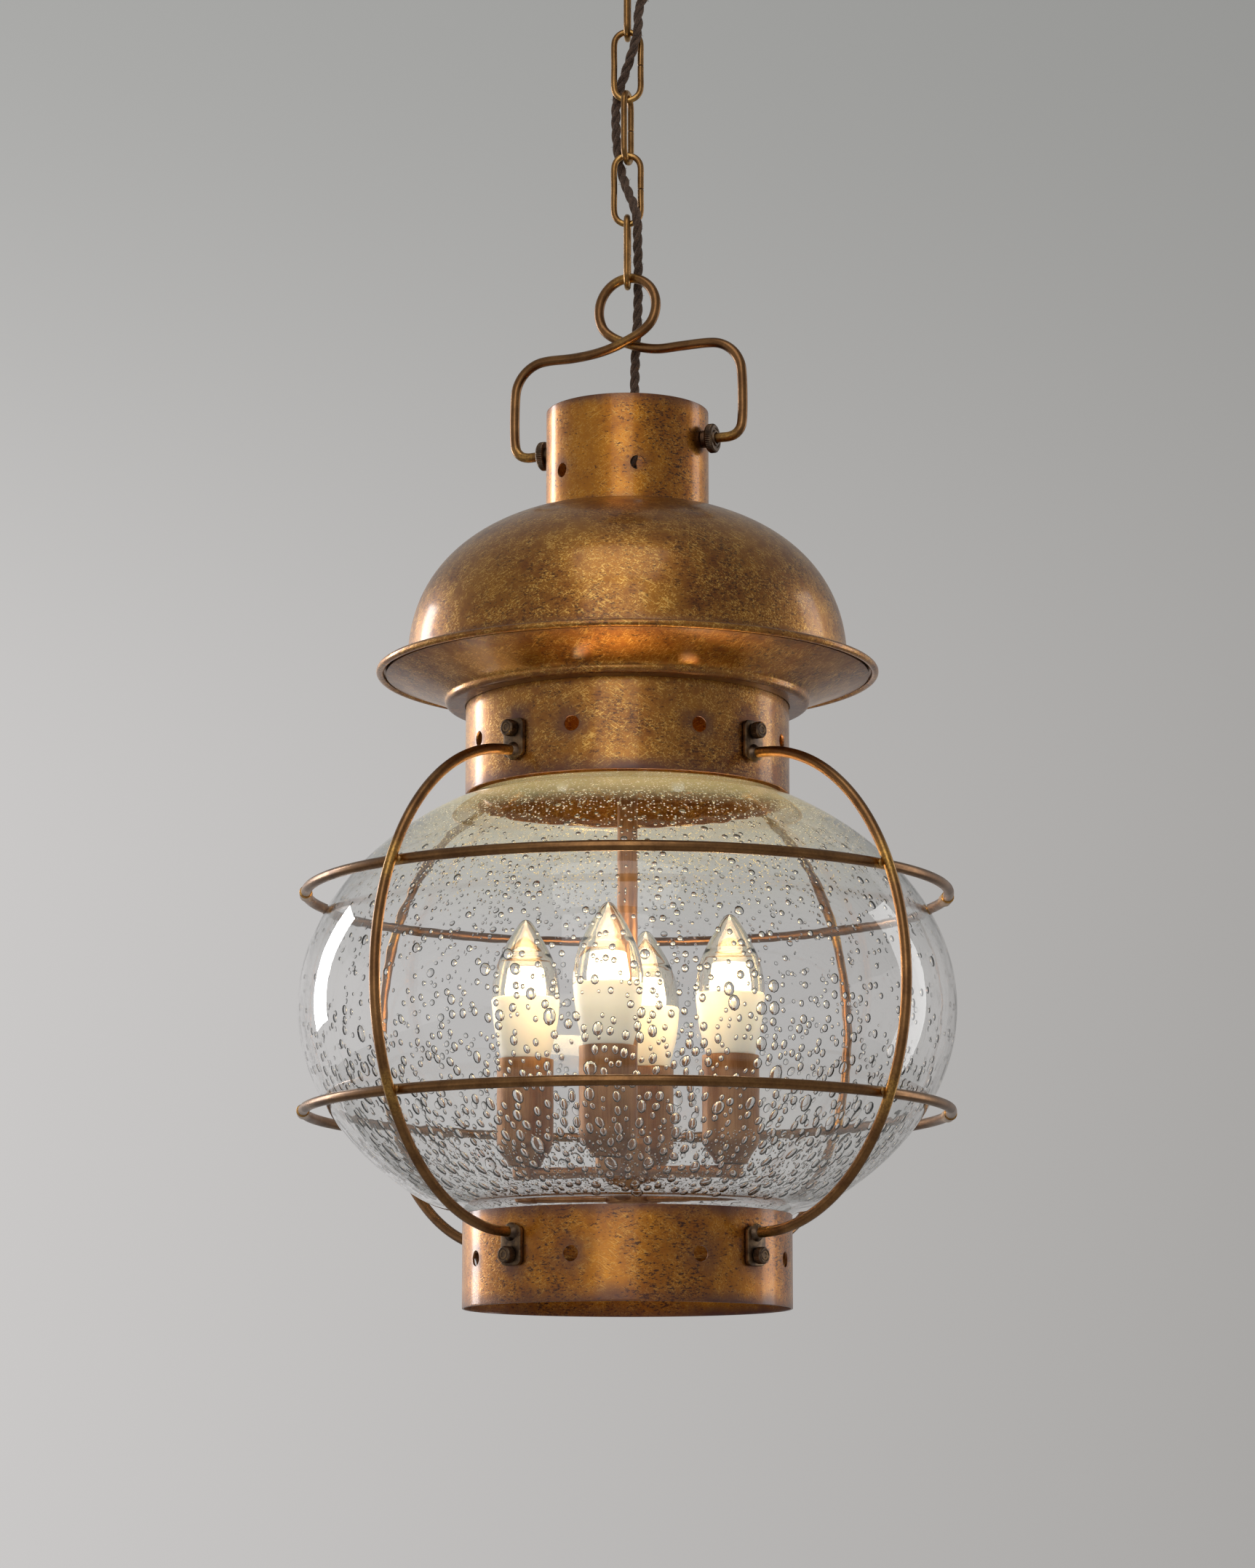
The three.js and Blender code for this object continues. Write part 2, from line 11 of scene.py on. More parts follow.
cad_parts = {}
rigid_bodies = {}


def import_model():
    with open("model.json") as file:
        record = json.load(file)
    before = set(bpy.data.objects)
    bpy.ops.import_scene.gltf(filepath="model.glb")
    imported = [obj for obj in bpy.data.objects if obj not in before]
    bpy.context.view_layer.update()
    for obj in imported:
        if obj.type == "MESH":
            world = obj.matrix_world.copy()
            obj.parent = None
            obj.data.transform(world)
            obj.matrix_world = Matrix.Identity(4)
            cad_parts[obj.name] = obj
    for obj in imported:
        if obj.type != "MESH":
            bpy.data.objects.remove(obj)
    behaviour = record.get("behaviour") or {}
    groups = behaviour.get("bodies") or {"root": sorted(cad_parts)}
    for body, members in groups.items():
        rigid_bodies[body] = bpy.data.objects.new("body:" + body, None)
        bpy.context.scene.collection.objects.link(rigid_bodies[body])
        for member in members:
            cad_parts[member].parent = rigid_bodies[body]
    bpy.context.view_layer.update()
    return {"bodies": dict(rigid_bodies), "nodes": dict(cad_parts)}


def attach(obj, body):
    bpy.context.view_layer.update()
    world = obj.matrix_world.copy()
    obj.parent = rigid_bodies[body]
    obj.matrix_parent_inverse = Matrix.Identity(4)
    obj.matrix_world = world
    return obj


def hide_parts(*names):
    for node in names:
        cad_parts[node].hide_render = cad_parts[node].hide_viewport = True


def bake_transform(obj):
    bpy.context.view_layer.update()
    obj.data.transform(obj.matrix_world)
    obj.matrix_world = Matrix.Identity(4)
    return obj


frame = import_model()
corners = (("front_right", 45), ("front_left", -45), ("back_right", 135), ("back_left", -135))

MM = 0.001


# ---- camera, at the height of the lower ring, looking up ----
def set_camera():
    data = bpy.data.cameras.new("camera")
    data.lens = 95.26
    data.clip_start = 0.01
    camera = bpy.data.objects.new("camera", data)
    camera.location = (-0.1141, -2.178, -0.893)
    camera.rotation_euler = (math.radians(100), 0, math.radians(-3))
    bpy.context.scene.collection.objects.link(camera)
    bpy.context.scene.camera = camera


set_camera()


# ---- materials ----
def colour(code):
    """sRGB hex to linear red, green, blue and alpha."""
    parts = [int(code[i : i + 2], 16) / 255 for i in (1, 3, 5)]
    return (*[c / 12.92 if c <= 0.04045 else ((c + 0.055) / 1.055) ** 2.4 for c in parts], 1)


def node(tree, kind, inputs=(), **settings):
    """Adds a node. inputs pairs a socket's name or number with a value or with another node's output."""
    made = tree.nodes.new(kind)
    for name, value in settings.items():
        setattr(made, name, value)
    for socket, value in dict(inputs).items():
        if isinstance(value, bpy.types.NodeSocket):
            tree.links.new(value, made.inputs[socket])
        else:
            made.inputs[socket].default_value = value
    return made


def new_material(name):
    material = bpy.data.materials.new(name)
    material.use_nodes = True
    tree = material.node_tree
    tree.nodes.clear()
    place = node(tree, "ShaderNodeTexCoord").outputs["Object"]
    return material, tree, place


def finish_material(tree, inputs):
    shader = node(tree, "ShaderNodeBsdfPrincipled", inputs)
    node(tree, "ShaderNodeOutputMaterial", {"Surface": shader.outputs[0]})


def antique_brass(name, brown, gold, rub, flecks):
    """Spun brass, toned by hand and rubbed with wool: gold and red-brown clouds, hatched scratches, dark pores."""
    material, tree, place = new_material(name)
    # clouds of tone about 45 mm across, and smaller ones of 9 mm
    clouds = node(tree, "ShaderNodeTexNoise", {"Vector": place, "Scale": 22, "Detail": 5, "Roughness": 0.62})
    mottle = node(tree, "ShaderNodeTexNoise", {"Vector": place, "Scale": 110, "Detail": 4, "Roughness": 0.7})
    both = node(tree, "ShaderNodeMix", {0: 0.42, 2: clouds.outputs[0], 3: mottle.outputs[0]})
    tone = node(tree, "ShaderNodeMapRange", {0: both.outputs[0], 1: 0.36, 2: 0.68})
    body = node(tree, "ShaderNodeMix", {0: tone.outputs[0], 6: colour(brown), 7: colour(gold)},
                data_type="RGBA")
    # rubbed scratches, 0.5 mm wide and about 6 mm long, in three crossing directions
    scratches = None
    for turn in ((0.35, 1.0, 0.0), (-0.3, -0.95, 0.3), (1.25, 0.5, 0.2)):
        laid = node(tree, "ShaderNodeMapping", {"Vector": place, "Rotation": turn, "Scale": (1, 1, 11)},
                    vector_type="TEXTURE")
        streak = node(tree, "ShaderNodeTexNoise", {"Vector": laid.outputs[0], "Scale": 1250, "Detail": 1})
        line = node(tree, "ShaderNodeMapRange", {0: streak.outputs[0], 1: 0.6, 2: 0.67})
        if scratches is None:
            scratches = line.outputs[0]
        else:
            scratches = node(tree, "ShaderNodeMath", {0: scratches, 1: line.outputs[0]}, operation="MAXIMUM").outputs[0]
    # scratches show in patches, where the wool bit
    patch = node(tree, "ShaderNodeMapRange", {0: mottle.outputs[0], 1: 0.38, 2: 0.56})
    bitten = node(tree, "ShaderNodeMath", {0: scratches, 1: patch.outputs[0]}, operation="MULTIPLY")
    bright = node(tree, "ShaderNodeMath", {0: bitten.outputs[0], 1: rub}, operation="MULTIPLY")
    rubbed = node(tree, "ShaderNodeMix", {0: bright.outputs[0], 6: body.outputs[2], 7: colour("#e2b25e")},
                  data_type="RGBA")
    # dark pores and short marks of 1 to 4 mm, longer across than up, thicker in some places
    flat = node(tree, "ShaderNodeMapping", {"Vector": place, "Scale": (1, 1, 2.6)})
    grit = node(tree, "ShaderNodeTexNoise", {"Vector": flat.outputs[0], "Scale": 400, "Detail": 5, "Roughness": 0.75})
    worst = node(tree, "ShaderNodeMapRange", {0: clouds.outputs[0], 1: 0.62, 2: 0.38, 3: -0.05, 4: 0.04})
    deeper = node(tree, "ShaderNodeMath", {0: grit.outputs[0], 1: worst.outputs[0]}, operation="ADD")
    pores = node(tree, "ShaderNodeMapRange", {0: deeper.outputs[0], 1: 0.555, 2: 0.595, 4: flecks})
    marked = node(tree, "ShaderNodeMix", {0: pores.outputs[0], 6: rubbed.outputs[2], 7: colour("#452a1b")},
                  data_type="RGBA")
    # purple-brown patina round holes and joints
    patina = node(tree, "ShaderNodeAttribute", attribute_name="patina")
    cloudy = node(tree, "ShaderNodeMapRange", {0: clouds.outputs[0], 1: 0.3, 2: 0.6, 3: 0.35, 4: 1.0})
    stain = node(tree, "ShaderNodeMath", {0: patina.outputs["Fac"], 1: cloudy.outputs[0]}, operation="MULTIPLY")
    toned = node(tree, "ShaderNodeMix", {0: stain.outputs[0], 6: marked.outputs[2], 7: colour("#5b3d36")},
                 data_type="RGBA")
    rough = node(tree, "ShaderNodeMapRange", {0: both.outputs[0], 1: 0.35, 2: 0.65, 3: 0.42, 4: 0.3})
    rougher = node(tree, "ShaderNodeMath", {0: stain.outputs[0], 1: 0.16, 2: rough.outputs[0]},
                   operation="MULTIPLY_ADD")
    relief = node(tree, "ShaderNodeMath", {0: bitten.outputs[0], 1: grit.outputs[0]}, operation="SUBTRACT")
    bump = node(tree, "ShaderNodeBump", {"Strength": 0.28, "Distance": 0.0002, "Height": relief.outputs[0]})
    # thin clear lacquer over it
    finish_material(tree, {"Base Color": toned.outputs[2], "Metallic": 1, "Roughness": rougher.outputs[0],
                           "Coat Weight": 0.42, "Coat Roughness": 0.15, "Coat IOR": 1.5,
                           "Normal": bump.outputs[0]})
    return material


def browned_wire(name, dark, light, gold):
    """Drawn brass wire, browned and rubbed back: satin, with soft patches and gold where it was brazed or rubs."""
    material, tree, place = new_material(name)
    clouds = node(tree, "ShaderNodeTexNoise", {"Vector": place, "Scale": 70, "Detail": 4, "Roughness": 0.65})
    grain = node(tree, "ShaderNodeTexNoise", {"Vector": place, "Scale": 900, "Detail": 3})
    both = node(tree, "ShaderNodeMix", {0: 0.25, 2: clouds.outputs[0], 3: grain.outputs[0]})
    tone = node(tree, "ShaderNodeMapRange", {0: both.outputs[0], 1: 0.38, 2: 0.64})
    body = node(tree, "ShaderNodeMix", {0: tone.outputs[0], 6: colour(dark), 7: colour(light)}, data_type="RGBA")
    rubbed = node(tree, "ShaderNodeAttribute", attribute_name="rubbed")
    broken = node(tree, "ShaderNodeMapRange", {0: grain.outputs[0], 1: 0.4, 2: 0.6, 3: 0.35, 4: 1.0})
    shine = node(tree, "ShaderNodeMath", {0: rubbed.outputs["Fac"], 1: broken.outputs[0]}, operation="MULTIPLY")
    worn = node(tree, "ShaderNodeMix", {0: shine.outputs[0], 6: body.outputs[2], 7: colour(gold)}, data_type="RGBA")
    rough = node(tree, "ShaderNodeMapRange", {0: clouds.outputs[0], 1: 0.35, 2: 0.65, 3: 0.36, 4: 0.27})
    bump = node(tree, "ShaderNodeBump", {"Strength": 0.12, "Distance": 0.0001, "Height": grain.outputs[0]})
    finish_material(tree, {"Base Color": worn.outputs[2], "Metallic": 1, "Roughness": rough.outputs[0],
                           "Normal": bump.outputs[0]})
    return material


def dark_bronze():
    """Cast and turned bronze with a near-black patina, brassy where edges have rubbed."""
    material, tree, place = new_material("dark_bronze")
    clouds = node(tree, "ShaderNodeTexNoise", {"Vector": place, "Scale": 180, "Detail": 5, "Roughness": 0.7})
    tone = node(tree, "ShaderNodeMapRange", {0: clouds.outputs[0], 1: 0.4, 2: 0.65})
    body = node(tree, "ShaderNodeMix", {0: tone.outputs[0], 6: colour("#4a3c32"), 7: colour("#75604c")},
                data_type="RGBA")
    edge = node(tree, "ShaderNodeNewGeometry")
    high = node(tree, "ShaderNodeMapRange", {0: edge.outputs["Pointiness"], 1: 0.53, 2: 0.6})
    broken = node(tree, "ShaderNodeMath", {0: high.outputs[0], 1: tone.outputs[0]}, operation="MULTIPLY")
    worn = node(tree, "ShaderNodeMix", {0: broken.outputs[0], 6: body.outputs[2], 7: colour("#b88c46")},
                data_type="RGBA")
    grain = node(tree, "ShaderNodeTexNoise", {"Vector": place, "Scale": 1400, "Detail": 2})
    bump = node(tree, "ShaderNodeBump", {"Strength": 0.15, "Distance": 0.0001, "Height": grain.outputs[0]})
    finish_material(tree, {"Base Color": worn.outputs[2], "Metallic": 1, "Roughness": 0.38,
                           "Normal": bump.outputs[0]})
    return material


def satin_brass():
    """Thin drawn brass tube under brown lacquer: even, with fine lengthwise polish lines."""
    material, tree, place = new_material("satin_brass")
    stretched = node(tree, "ShaderNodeMapping", {"Vector": place, "Scale": (1, 1, 0.06)})
    lines = node(tree, "ShaderNodeTexNoise", {"Vector": stretched.outputs[0], "Scale": 1100, "Detail": 2})
    clouds = node(tree, "ShaderNodeTexNoise", {"Vector": place, "Scale": 60, "Detail": 3})
    both = node(tree, "ShaderNodeMix", {0: 0.35, 2: clouds.outputs[0], 3: lines.outputs[0]})
    tone = node(tree, "ShaderNodeMapRange", {0: both.outputs[0], 1: 0.38, 2: 0.62})
    body = node(tree, "ShaderNodeMix", {0: tone.outputs[0], 6: colour("#83593a"), 7: colour("#a87d55")},
                data_type="RGBA")
    bump = node(tree, "ShaderNodeBump", {"Strength": 0.1, "Distance": 0.0001, "Height": lines.outputs[0]})
    finish_material(tree, {"Base Color": body.outputs[2], "Metallic": 1, "Roughness": 0.38,
                           "Normal": bump.outputs[0]})
    return material


def plated_steel():
    """Zinc-plated steel strip: pale grey with a faint spangle."""
    material, tree, place = new_material("plated_steel")
    spangle = node(tree, "ShaderNodeTexVoronoi", {"Vector": place, "Scale": 260})
    tone = node(tree, "ShaderNodeMix", {0: spangle.outputs["Distance"], 6: colour("#a3a39e"), 7: colour("#86867f")},
                data_type="RGBA")
    finish_material(tree, {"Base Color": tone.outputs[2], "Metallic": 1, "Roughness": 0.36})
    return material


def seeded_glass():
    """Blown soda glass: clear, with a faint yellow-green cast where it is thick towards its upper neck."""
    material, tree, place = new_material("seeded_glass")
    up = node(tree, "ShaderNodeSeparateXYZ", {0: place})
    cast = node(tree, "ShaderNodeMapRange", {0: up.outputs["Z"], 1: -0.575, 2: -0.52}, interpolation_type="SMOOTHSTEP")
    tint = node(tree, "ShaderNodeMix", {0: cast.outputs[0], 6: colour("#ffffff"), 7: colour("#fafaee")},
                data_type="RGBA")
    # slow waves left by blowing, about 30 mm apart
    waves = node(tree, "ShaderNodeTexNoise", {"Vector": place, "Scale": 34, "Detail": 2})
    bump = node(tree, "ShaderNodeBump", {"Strength": 0.12, "Distance": 0.001, "Height": waves.outputs[0]})
    finish_material(tree, {"Base Color": tint.outputs[2], "Roughness": 0.0, "IOR": 1.5, "Transmission Weight": 1,
                           "Normal": bump.outputs[0]})
    return material


def bubble_air():
    """The wall of a bubble shut in the glass: its faces point into the air inside it."""
    material, tree, place = new_material("bubble_air")
    finish_material(tree, {"Base Color": colour("#ffffff"), "Roughness": 0.0, "IOR": 1.4, "Transmission Weight": 1})
    return material


def seed_veil(name, haze_most, haze_tone, seed_tone):
    """Glass crowded with tiny seeds that scatter light: white points in a pale yellow-green haze, thinning downwards."""
    material, tree, place = new_material(name)
    up = node(tree, "ShaderNodeSeparateXYZ", {0: place})
    thick = node(tree, "ShaderNodeMapRange", {0: up.outputs["Z"], 1: -0.56, 2: -0.522}, interpolation_type="SMOOTHSTEP")
    haze = node(tree, "ShaderNodeMapRange", {0: up.outputs["Z"], 1: -0.54, 2: -0.522, 4: haze_most},
                interpolation_type="SMOOTHSTEP")
    # seeds of 0.5 to 1 mm, about 1.7 and 2.8 mm apart
    seeds = None
    for scale, size in ((590, 0.34), (360, 0.24)):
        cells = node(tree, "ShaderNodeTexVoronoi", {"Vector": place, "Scale": scale, "Randomness": 1.0})
        share = node(tree, "ShaderNodeSeparateColor", {0: cells.outputs["Color"]})
        kept = node(tree, "ShaderNodeMath", {0: share.outputs[0], 1: thick.outputs[0]}, operation="LESS_THAN")
        point = node(tree, "ShaderNodeMapRange", {0: cells.outputs["Distance"], 1: size, 2: size * 0.55})
        seed = node(tree, "ShaderNodeMath", {0: kept.outputs[0], 1: point.outputs[0]}, operation="MULTIPLY").outputs[0]
        if seeds is None:
            seeds = seed
        else:
            seeds = node(tree, "ShaderNodeMath", {0: seeds, 1: seed}, operation="MAXIMUM").outputs[0]
    cover = node(tree, "ShaderNodeMath", {0: seeds, 1: haze.outputs[0]}, operation="MAXIMUM")
    # each face is seen from its own side only
    side = node(tree, "ShaderNodeNewGeometry")
    seen = node(tree, "ShaderNodeMath", {0: 1.0, 1: side.outputs["Backfacing"]}, operation="SUBTRACT")
    shown = node(tree, "ShaderNodeMath", {0: cover.outputs[0], 1: seen.outputs[0]}, operation="MULTIPLY")
    tone = node(tree, "ShaderNodeMix", {0: seeds, 6: colour(haze_tone), 7: colour(seed_tone)}, data_type="RGBA")
    finish_material(tree, {"Base Color": tone.outputs[2], "Roughness": 0.6, "Alpha": shown.outputs[0]})
    return material


def lamp_plastic():
    """Moulded polycarbonate heat sink of an LED lamp: warm white and nearly matt."""
    material, tree, place = new_material("lamp_plastic")
    up = node(tree, "ShaderNodeSeparateXYZ", {0: place})
    # light from the lamp shines down through the top of the white shell
    glow = node(tree, "ShaderNodeMapRange", {0: up.outputs["Z"], 1: -0.656, 2: -0.621, 4: 0.42},
                interpolation_type="SMOOTHSTEP")
    texture = node(tree, "ShaderNodeTexNoise", {"Vector": place, "Scale": 1500, "Detail": 2})
    bump = node(tree, "ShaderNodeBump", {"Strength": 0.08, "Distance": 0.0001, "Height": texture.outputs[0]})
    finish_material(tree, {"Base Color": colour("#f2ecd9"), "Roughness": 0.42, "Subsurface Weight": 0.25,
                           "Subsurface Radius": (0.01, 0.008, 0.005), "Subsurface Scale": 0.3,
                           "Emission Color": colour("#ffe2a4"), "Emission Strength": glow.outputs[0],
                           "Normal": bump.outputs[0]})
    return material


def lamp_cover():
    """Clear blown cover of the lamp."""
    material, tree, place = new_material("lamp_cover")
    finish_material(tree, {"Base Color": colour("#fffdf6"), "Roughness": 0.0, "IOR": 1.45, "Transmission Weight": 1})
    return material


def lit_guide():
    """Moulded light guide, lit from below, brightest at its foot."""
    material, tree, place = new_material("lit_guide")
    up = node(tree, "ShaderNodeSeparateXYZ", {0: place})
    power = node(tree, "ShaderNodeMapRange", {0: up.outputs["Z"], 1: -0.622, 2: -0.606, 3: 9.0, 4: 3.0})
    finish_material(tree, {"Base Color": colour("#fff6e0"), "Roughness": 0.3, "Emission Color": colour("#ffe3ae"),
                           "Emission Strength": power.outputs[0]})
    return material


def lamp_ceramic():
    """Glazed steatite lamp holder."""
    material, tree, place = new_material("lamp_ceramic")
    body = node(tree, "ShaderNodeTexNoise", {"Vector": place, "Scale": 300, "Detail": 3})
    tone = node(tree, "ShaderNodeMix", {0: body.outputs[0], 6: colour("#dcd6c8"), 7: colour("#ece8de")},
                data_type="RGBA")
    finish_material(tree, {"Base Color": tone.outputs[2], "Roughness": 0.3})
    return material


def braided_cotton():
    """Brown cotton braid, matt, with thread crowns about 0.5 mm apart, lighter on the crowns and darker in the grooves
    between them as painted shade, and a soft sheen from its fuzz.
    """
    material, tree, place = new_material("braided_cotton")
    threads = node(tree, "ShaderNodeTexVoronoi", {"Vector": place, "Scale": 1700, "Randomness": 0.7})
    fuzz = node(tree, "ShaderNodeTexNoise", {"Vector": place, "Scale": 350, "Detail": 5, "Roughness": 0.75})
    both = node(tree, "ShaderNodeMix", {0: 0.5, 2: threads.outputs["Distance"], 3: fuzz.outputs[0]})
    # tone runs dark away from each thread crown: painted shade in the grooves, mixed with the fuzz's own tone
    tone = node(tree, "ShaderNodeMapRange", {0: both.outputs[0], 1: 0.25, 2: 0.62})
    body = node(tree, "ShaderNodeMix", {0: tone.outputs[0], 6: colour("#6a5140"), 7: colour("#2c2019")},
                data_type="RGBA")
    bump = node(tree, "ShaderNodeBump", {"Strength": 0.7, "Distance": 0.0003, "Height": both.outputs[0]},
                invert=True)
    finish_material(tree, {"Base Color": body.outputs[2], "Roughness": 0.92, "Sheen Weight": 0.35,
                           "Sheen Roughness": 0.5, "Sheen Tint": colour("#b09a84"), "Normal": bump.outputs[0]})
    return material


def pale_paint():
    """Plain pale studio floor."""
    material, tree, place = new_material("pale_paint")
    finish_material(tree, {"Base Color": colour("#c9c8c6"), "Roughness": 0.9})
    return material


brass = antique_brass("antique_brass", "#7e4b20", "#b0782c", 0.7, 0.8)
gold_brass = antique_brass("antique_brass_golden", "#8b5018", "#bd7b1f", 0.35, 1.0)
wire_brass = browned_wire("wire_brass", "#68492f", "#8c6640", "#cfa053")
chain_brass = browned_wire("chain_brass", "#70502f", "#9c7445", "#dab068")
bronze = dark_bronze()
satin = satin_brass()
steel = plated_steel()
glass = seeded_glass()
air = bubble_air()
veil = seed_veil("seed_veil_outer", 0.8, "#e4dcae", "#fffff2")
# the inward-facing copy is darker and fainter: painted shade that dims the far side of the neck, where the lamps light
# it
shaded_inner_veil = seed_veil("seed_veil_inner_shaded", 0.1, "#8d8e72", "#a5a48c")
white = lamp_plastic()
clear = lamp_cover()
guide = lit_guide()
ceramic = lamp_ceramic()
cotton = braided_cotton()


# ---- working in millimetres with bmesh ----
def polar(radius, degrees, z=0):
    """A point at an azimuth measured from the front, -Y, towards +X."""
    angle = math.radians(degrees)
    return Vector((radius * math.sin(angle), -radius * math.cos(angle), z))


def make_piece(name, bm, material, body, replaces, crease=38):
    """Turns a bmesh in millimetres into a finished piece on its body."""
    bmesh.ops.scale(bm, vec=(MM, MM, MM), verts=bm.verts)
    mesh = bpy.data.meshes.new(name)
    bm.to_mesh(mesh)
    bm.free()
    mesh.materials.append(material)
    mesh.shade_smooth()
    mesh.set_sharp_from_angle(angle=math.radians(crease))
    piece = bpy.data.objects.new(name, mesh)
    bpy.context.scene.collection.objects.link(piece)
    if replaces:
        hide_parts(*replaces)
    if body:
        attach(piece, body)
    return piece


def soften(outline):
    """Rounds the corners of a closed outline. A third number on a point is its rounding radius."""
    made = []
    count = len(outline)
    for i, point in enumerate(outline):
        here = Vector(point[:2])
        radius = point[2] if len(point) > 2 else 0
        before = Vector(outline[i - 1][:2]) - here
        after = Vector(outline[(i + 1) % count][:2]) - here
        reach = min(radius, before.length * 0.49, after.length * 0.49)
        if reach < 1e-3:
            made.append(here)
            continue
        start = here + before.normalized() * reach
        end = here + after.normalized() * reach
        steps = 5 if radius > 0.6 else 3
        for k in range(steps + 1):
            t = k / steps
            made.append(start * (1 - t) ** 2 + here * 2 * t * (1 - t) + end * t**2)
    return made


def spin(bm, outline, steps=96, closed=True):
    """Spins an outline of [radius, z] points about Z."""
    verts = [bm.verts.new((p[0], 0, p[1])) for p in outline]
    pairs = list(zip(verts, verts[1:] + verts[:1]))
    edges = [bm.edges.new(pair) for pair in (pairs if closed else pairs[:-1])]
    bmesh.ops.spin(bm, geom=verts + edges, axis=(0, 0, 1), cent=(0, 0, 0), steps=steps, angle=math.tau,
                   use_merge=True)
    bmesh.ops.remove_doubles(bm, verts=bm.verts, dist=1e-3)
    bmesh.ops.delete(bm, geom=[e for e in bm.edges if not e.link_faces], context="EDGES")
    bmesh.ops.recalc_face_normals(bm, faces=bm.faces)


def spun(outline, steps=96, closed=True):
    bm = bmesh.new()
    spin(bm, outline, steps, closed)
    return bm


def knurl(bm, steps, low, high, inner, depth):
    """Pushes every second column of a spun band inwards, between two heights and outside a radius."""
    for v in bm.verts:
        radius = math.hypot(v.co.x, v.co.y)
        if low <= v.co.z <= high and radius > inner:
            column = round(math.atan2(v.co.y, v.co.x) / math.tau * steps)
            if column % 2:
                v.co.xy *= (radius - depth) / radius


def lay_out(bm, azimuth, z, turn_to_x=True):
    """Turns a piece spun about Z so that its axis points outwards at an azimuth and height."""
    if turn_to_x:
        bmesh.ops.rotate(bm, verts=bm.verts, cent=(0, 0, 0), matrix=Matrix.Rotation(math.pi / 2, 3, "Y"))
    bmesh.ops.rotate(bm, verts=bm.verts, cent=(0, 0, 0), matrix=Matrix.Rotation(math.radians(azimuth - 90), 3, "Z"))
    bmesh.ops.translate(bm, verts=bm.verts, vec=(0, 0, z))


def smooth_path(points, spacing):
    """A centripetal Catmull-Rom curve through the points, cut into even steps."""
    given = [Vector(p) for p in points]
    ends = [given[0] * 2 - given[1], *given, given[-1] * 2 - given[-2]]
    fine = []
    for a, b, c, d in zip(ends, ends[1:], ends[2:], ends[3:]):
        t0, t1, t2 = (max(1e-4, (q - p).length) ** 0.5 for p, q in ((a, b), (b, c), (c, d)))
        leave = ((b - a) / t0 - (c - a) / (t0 + t1) + (c - b) / t1) * t1
        arrive = ((c - b) / t1 - (d - b) / (t1 + t2) + (d - c) / t2) * t1
        for k in range(16):
            t = k / 16
            square, cube = t * t, t**3
            fine.append(b * (2 * cube - 3 * square + 1) + leave * (cube - 2 * square + t)
                        + c * (3 * square - 2 * cube) + arrive * (cube - square))
    fine.append(given[-1])
    run = [0.0]
    for p, q in zip(fine, fine[1:]):
        run.append(run[-1] + (q - p).length)
    count = max(2, round(run[-1] / spacing))
    made, k = [], 0
    for i in range(count + 1):
        want = run[-1] * i / count
        while k < len(run) - 2 and run[k + 1] < want:
            k += 1
        share = (want - run[k]) / max(1e-9, run[k + 1] - run[k])
        made.append(fine[k].lerp(fine[k + 1], min(1, share)))
    return made


def headings(path):
    made = [(q - p).normalized() for p, q in zip(path, path[2:])]
    return [(path[1] - path[0]).normalized(), *made, (path[-1] - path[-2]).normalized()]


def draw_wire(bm, path, radius, sides=16, round_ends=0.0):
    """Draws round wire along a path: a circle is extruded from point to point and kept square to it."""
    ways = headings(path)
    ring = bmesh.ops.create_circle(bm, cap_ends=True, radius=radius, segments=sides)["verts"]
    bmesh.ops.rotate(bm, verts=ring, cent=(0, 0, 0), matrix=Vector((0, 0, 1)).rotation_difference(ways[0]).to_matrix())
    bmesh.ops.translate(bm, verts=ring, vec=path[0])
    first = ring
    cap = list(set(f for v in ring for f in v.link_faces))
    edges = list(cap[0].edges)
    for here, there, way, turned in zip(path, path[1:], ways, ways[1:]):
        grown = bmesh.ops.extrude_edge_only(bm, edges=edges)["geom"]
        ring = [g for g in grown if isinstance(g, bmesh.types.BMVert)]
        fresh = set(ring)
        edges = [g for g in grown if isinstance(g, bmesh.types.BMEdge) and g.verts[0] in fresh and g.verts[1] in fresh]
        bmesh.ops.translate(bm, verts=ring, vec=there - here)
        bmesh.ops.rotate(bm, verts=ring, cent=there, matrix=way.rotation_difference(turned).to_matrix())
    bmesh.ops.contextual_create(bm, geom=edges)
    if round_ends:
        rims = [e for v in (*first, *ring) for e in v.link_edges if e.is_manifold and e.calc_face_angle(0) > 1]
        bmesh.ops.bevel(bm, geom=list(set(rims)), offset=round_ends, segments=3, affect="EDGES", profile=0.5,
                        material=-1)
    return ring


def wire_piece(paths, radius, sides=16, round_ends=0.4):
    whole = bmesh.new()
    for path in paths:
        bm = bmesh.new()
        draw_wire(bm, path, radius, sides, round_ends)
        bmesh.ops.recalc_face_normals(bm, faces=bm.faces)
        take_in(whole, bm)
    return whole


def take_in(whole, bm):
    """Moves everything in bm into whole."""
    mesh = bpy.data.meshes.new("part")
    bm.to_mesh(mesh)
    bm.free()
    whole.from_mesh(mesh)
    bpy.data.meshes.remove(mesh)


def turn_all(bm, degrees):
    bmesh.ops.rotate(bm, verts=bm.verts, cent=(0, 0, 0), matrix=Matrix.Rotation(math.radians(degrees), 3, "Z"))


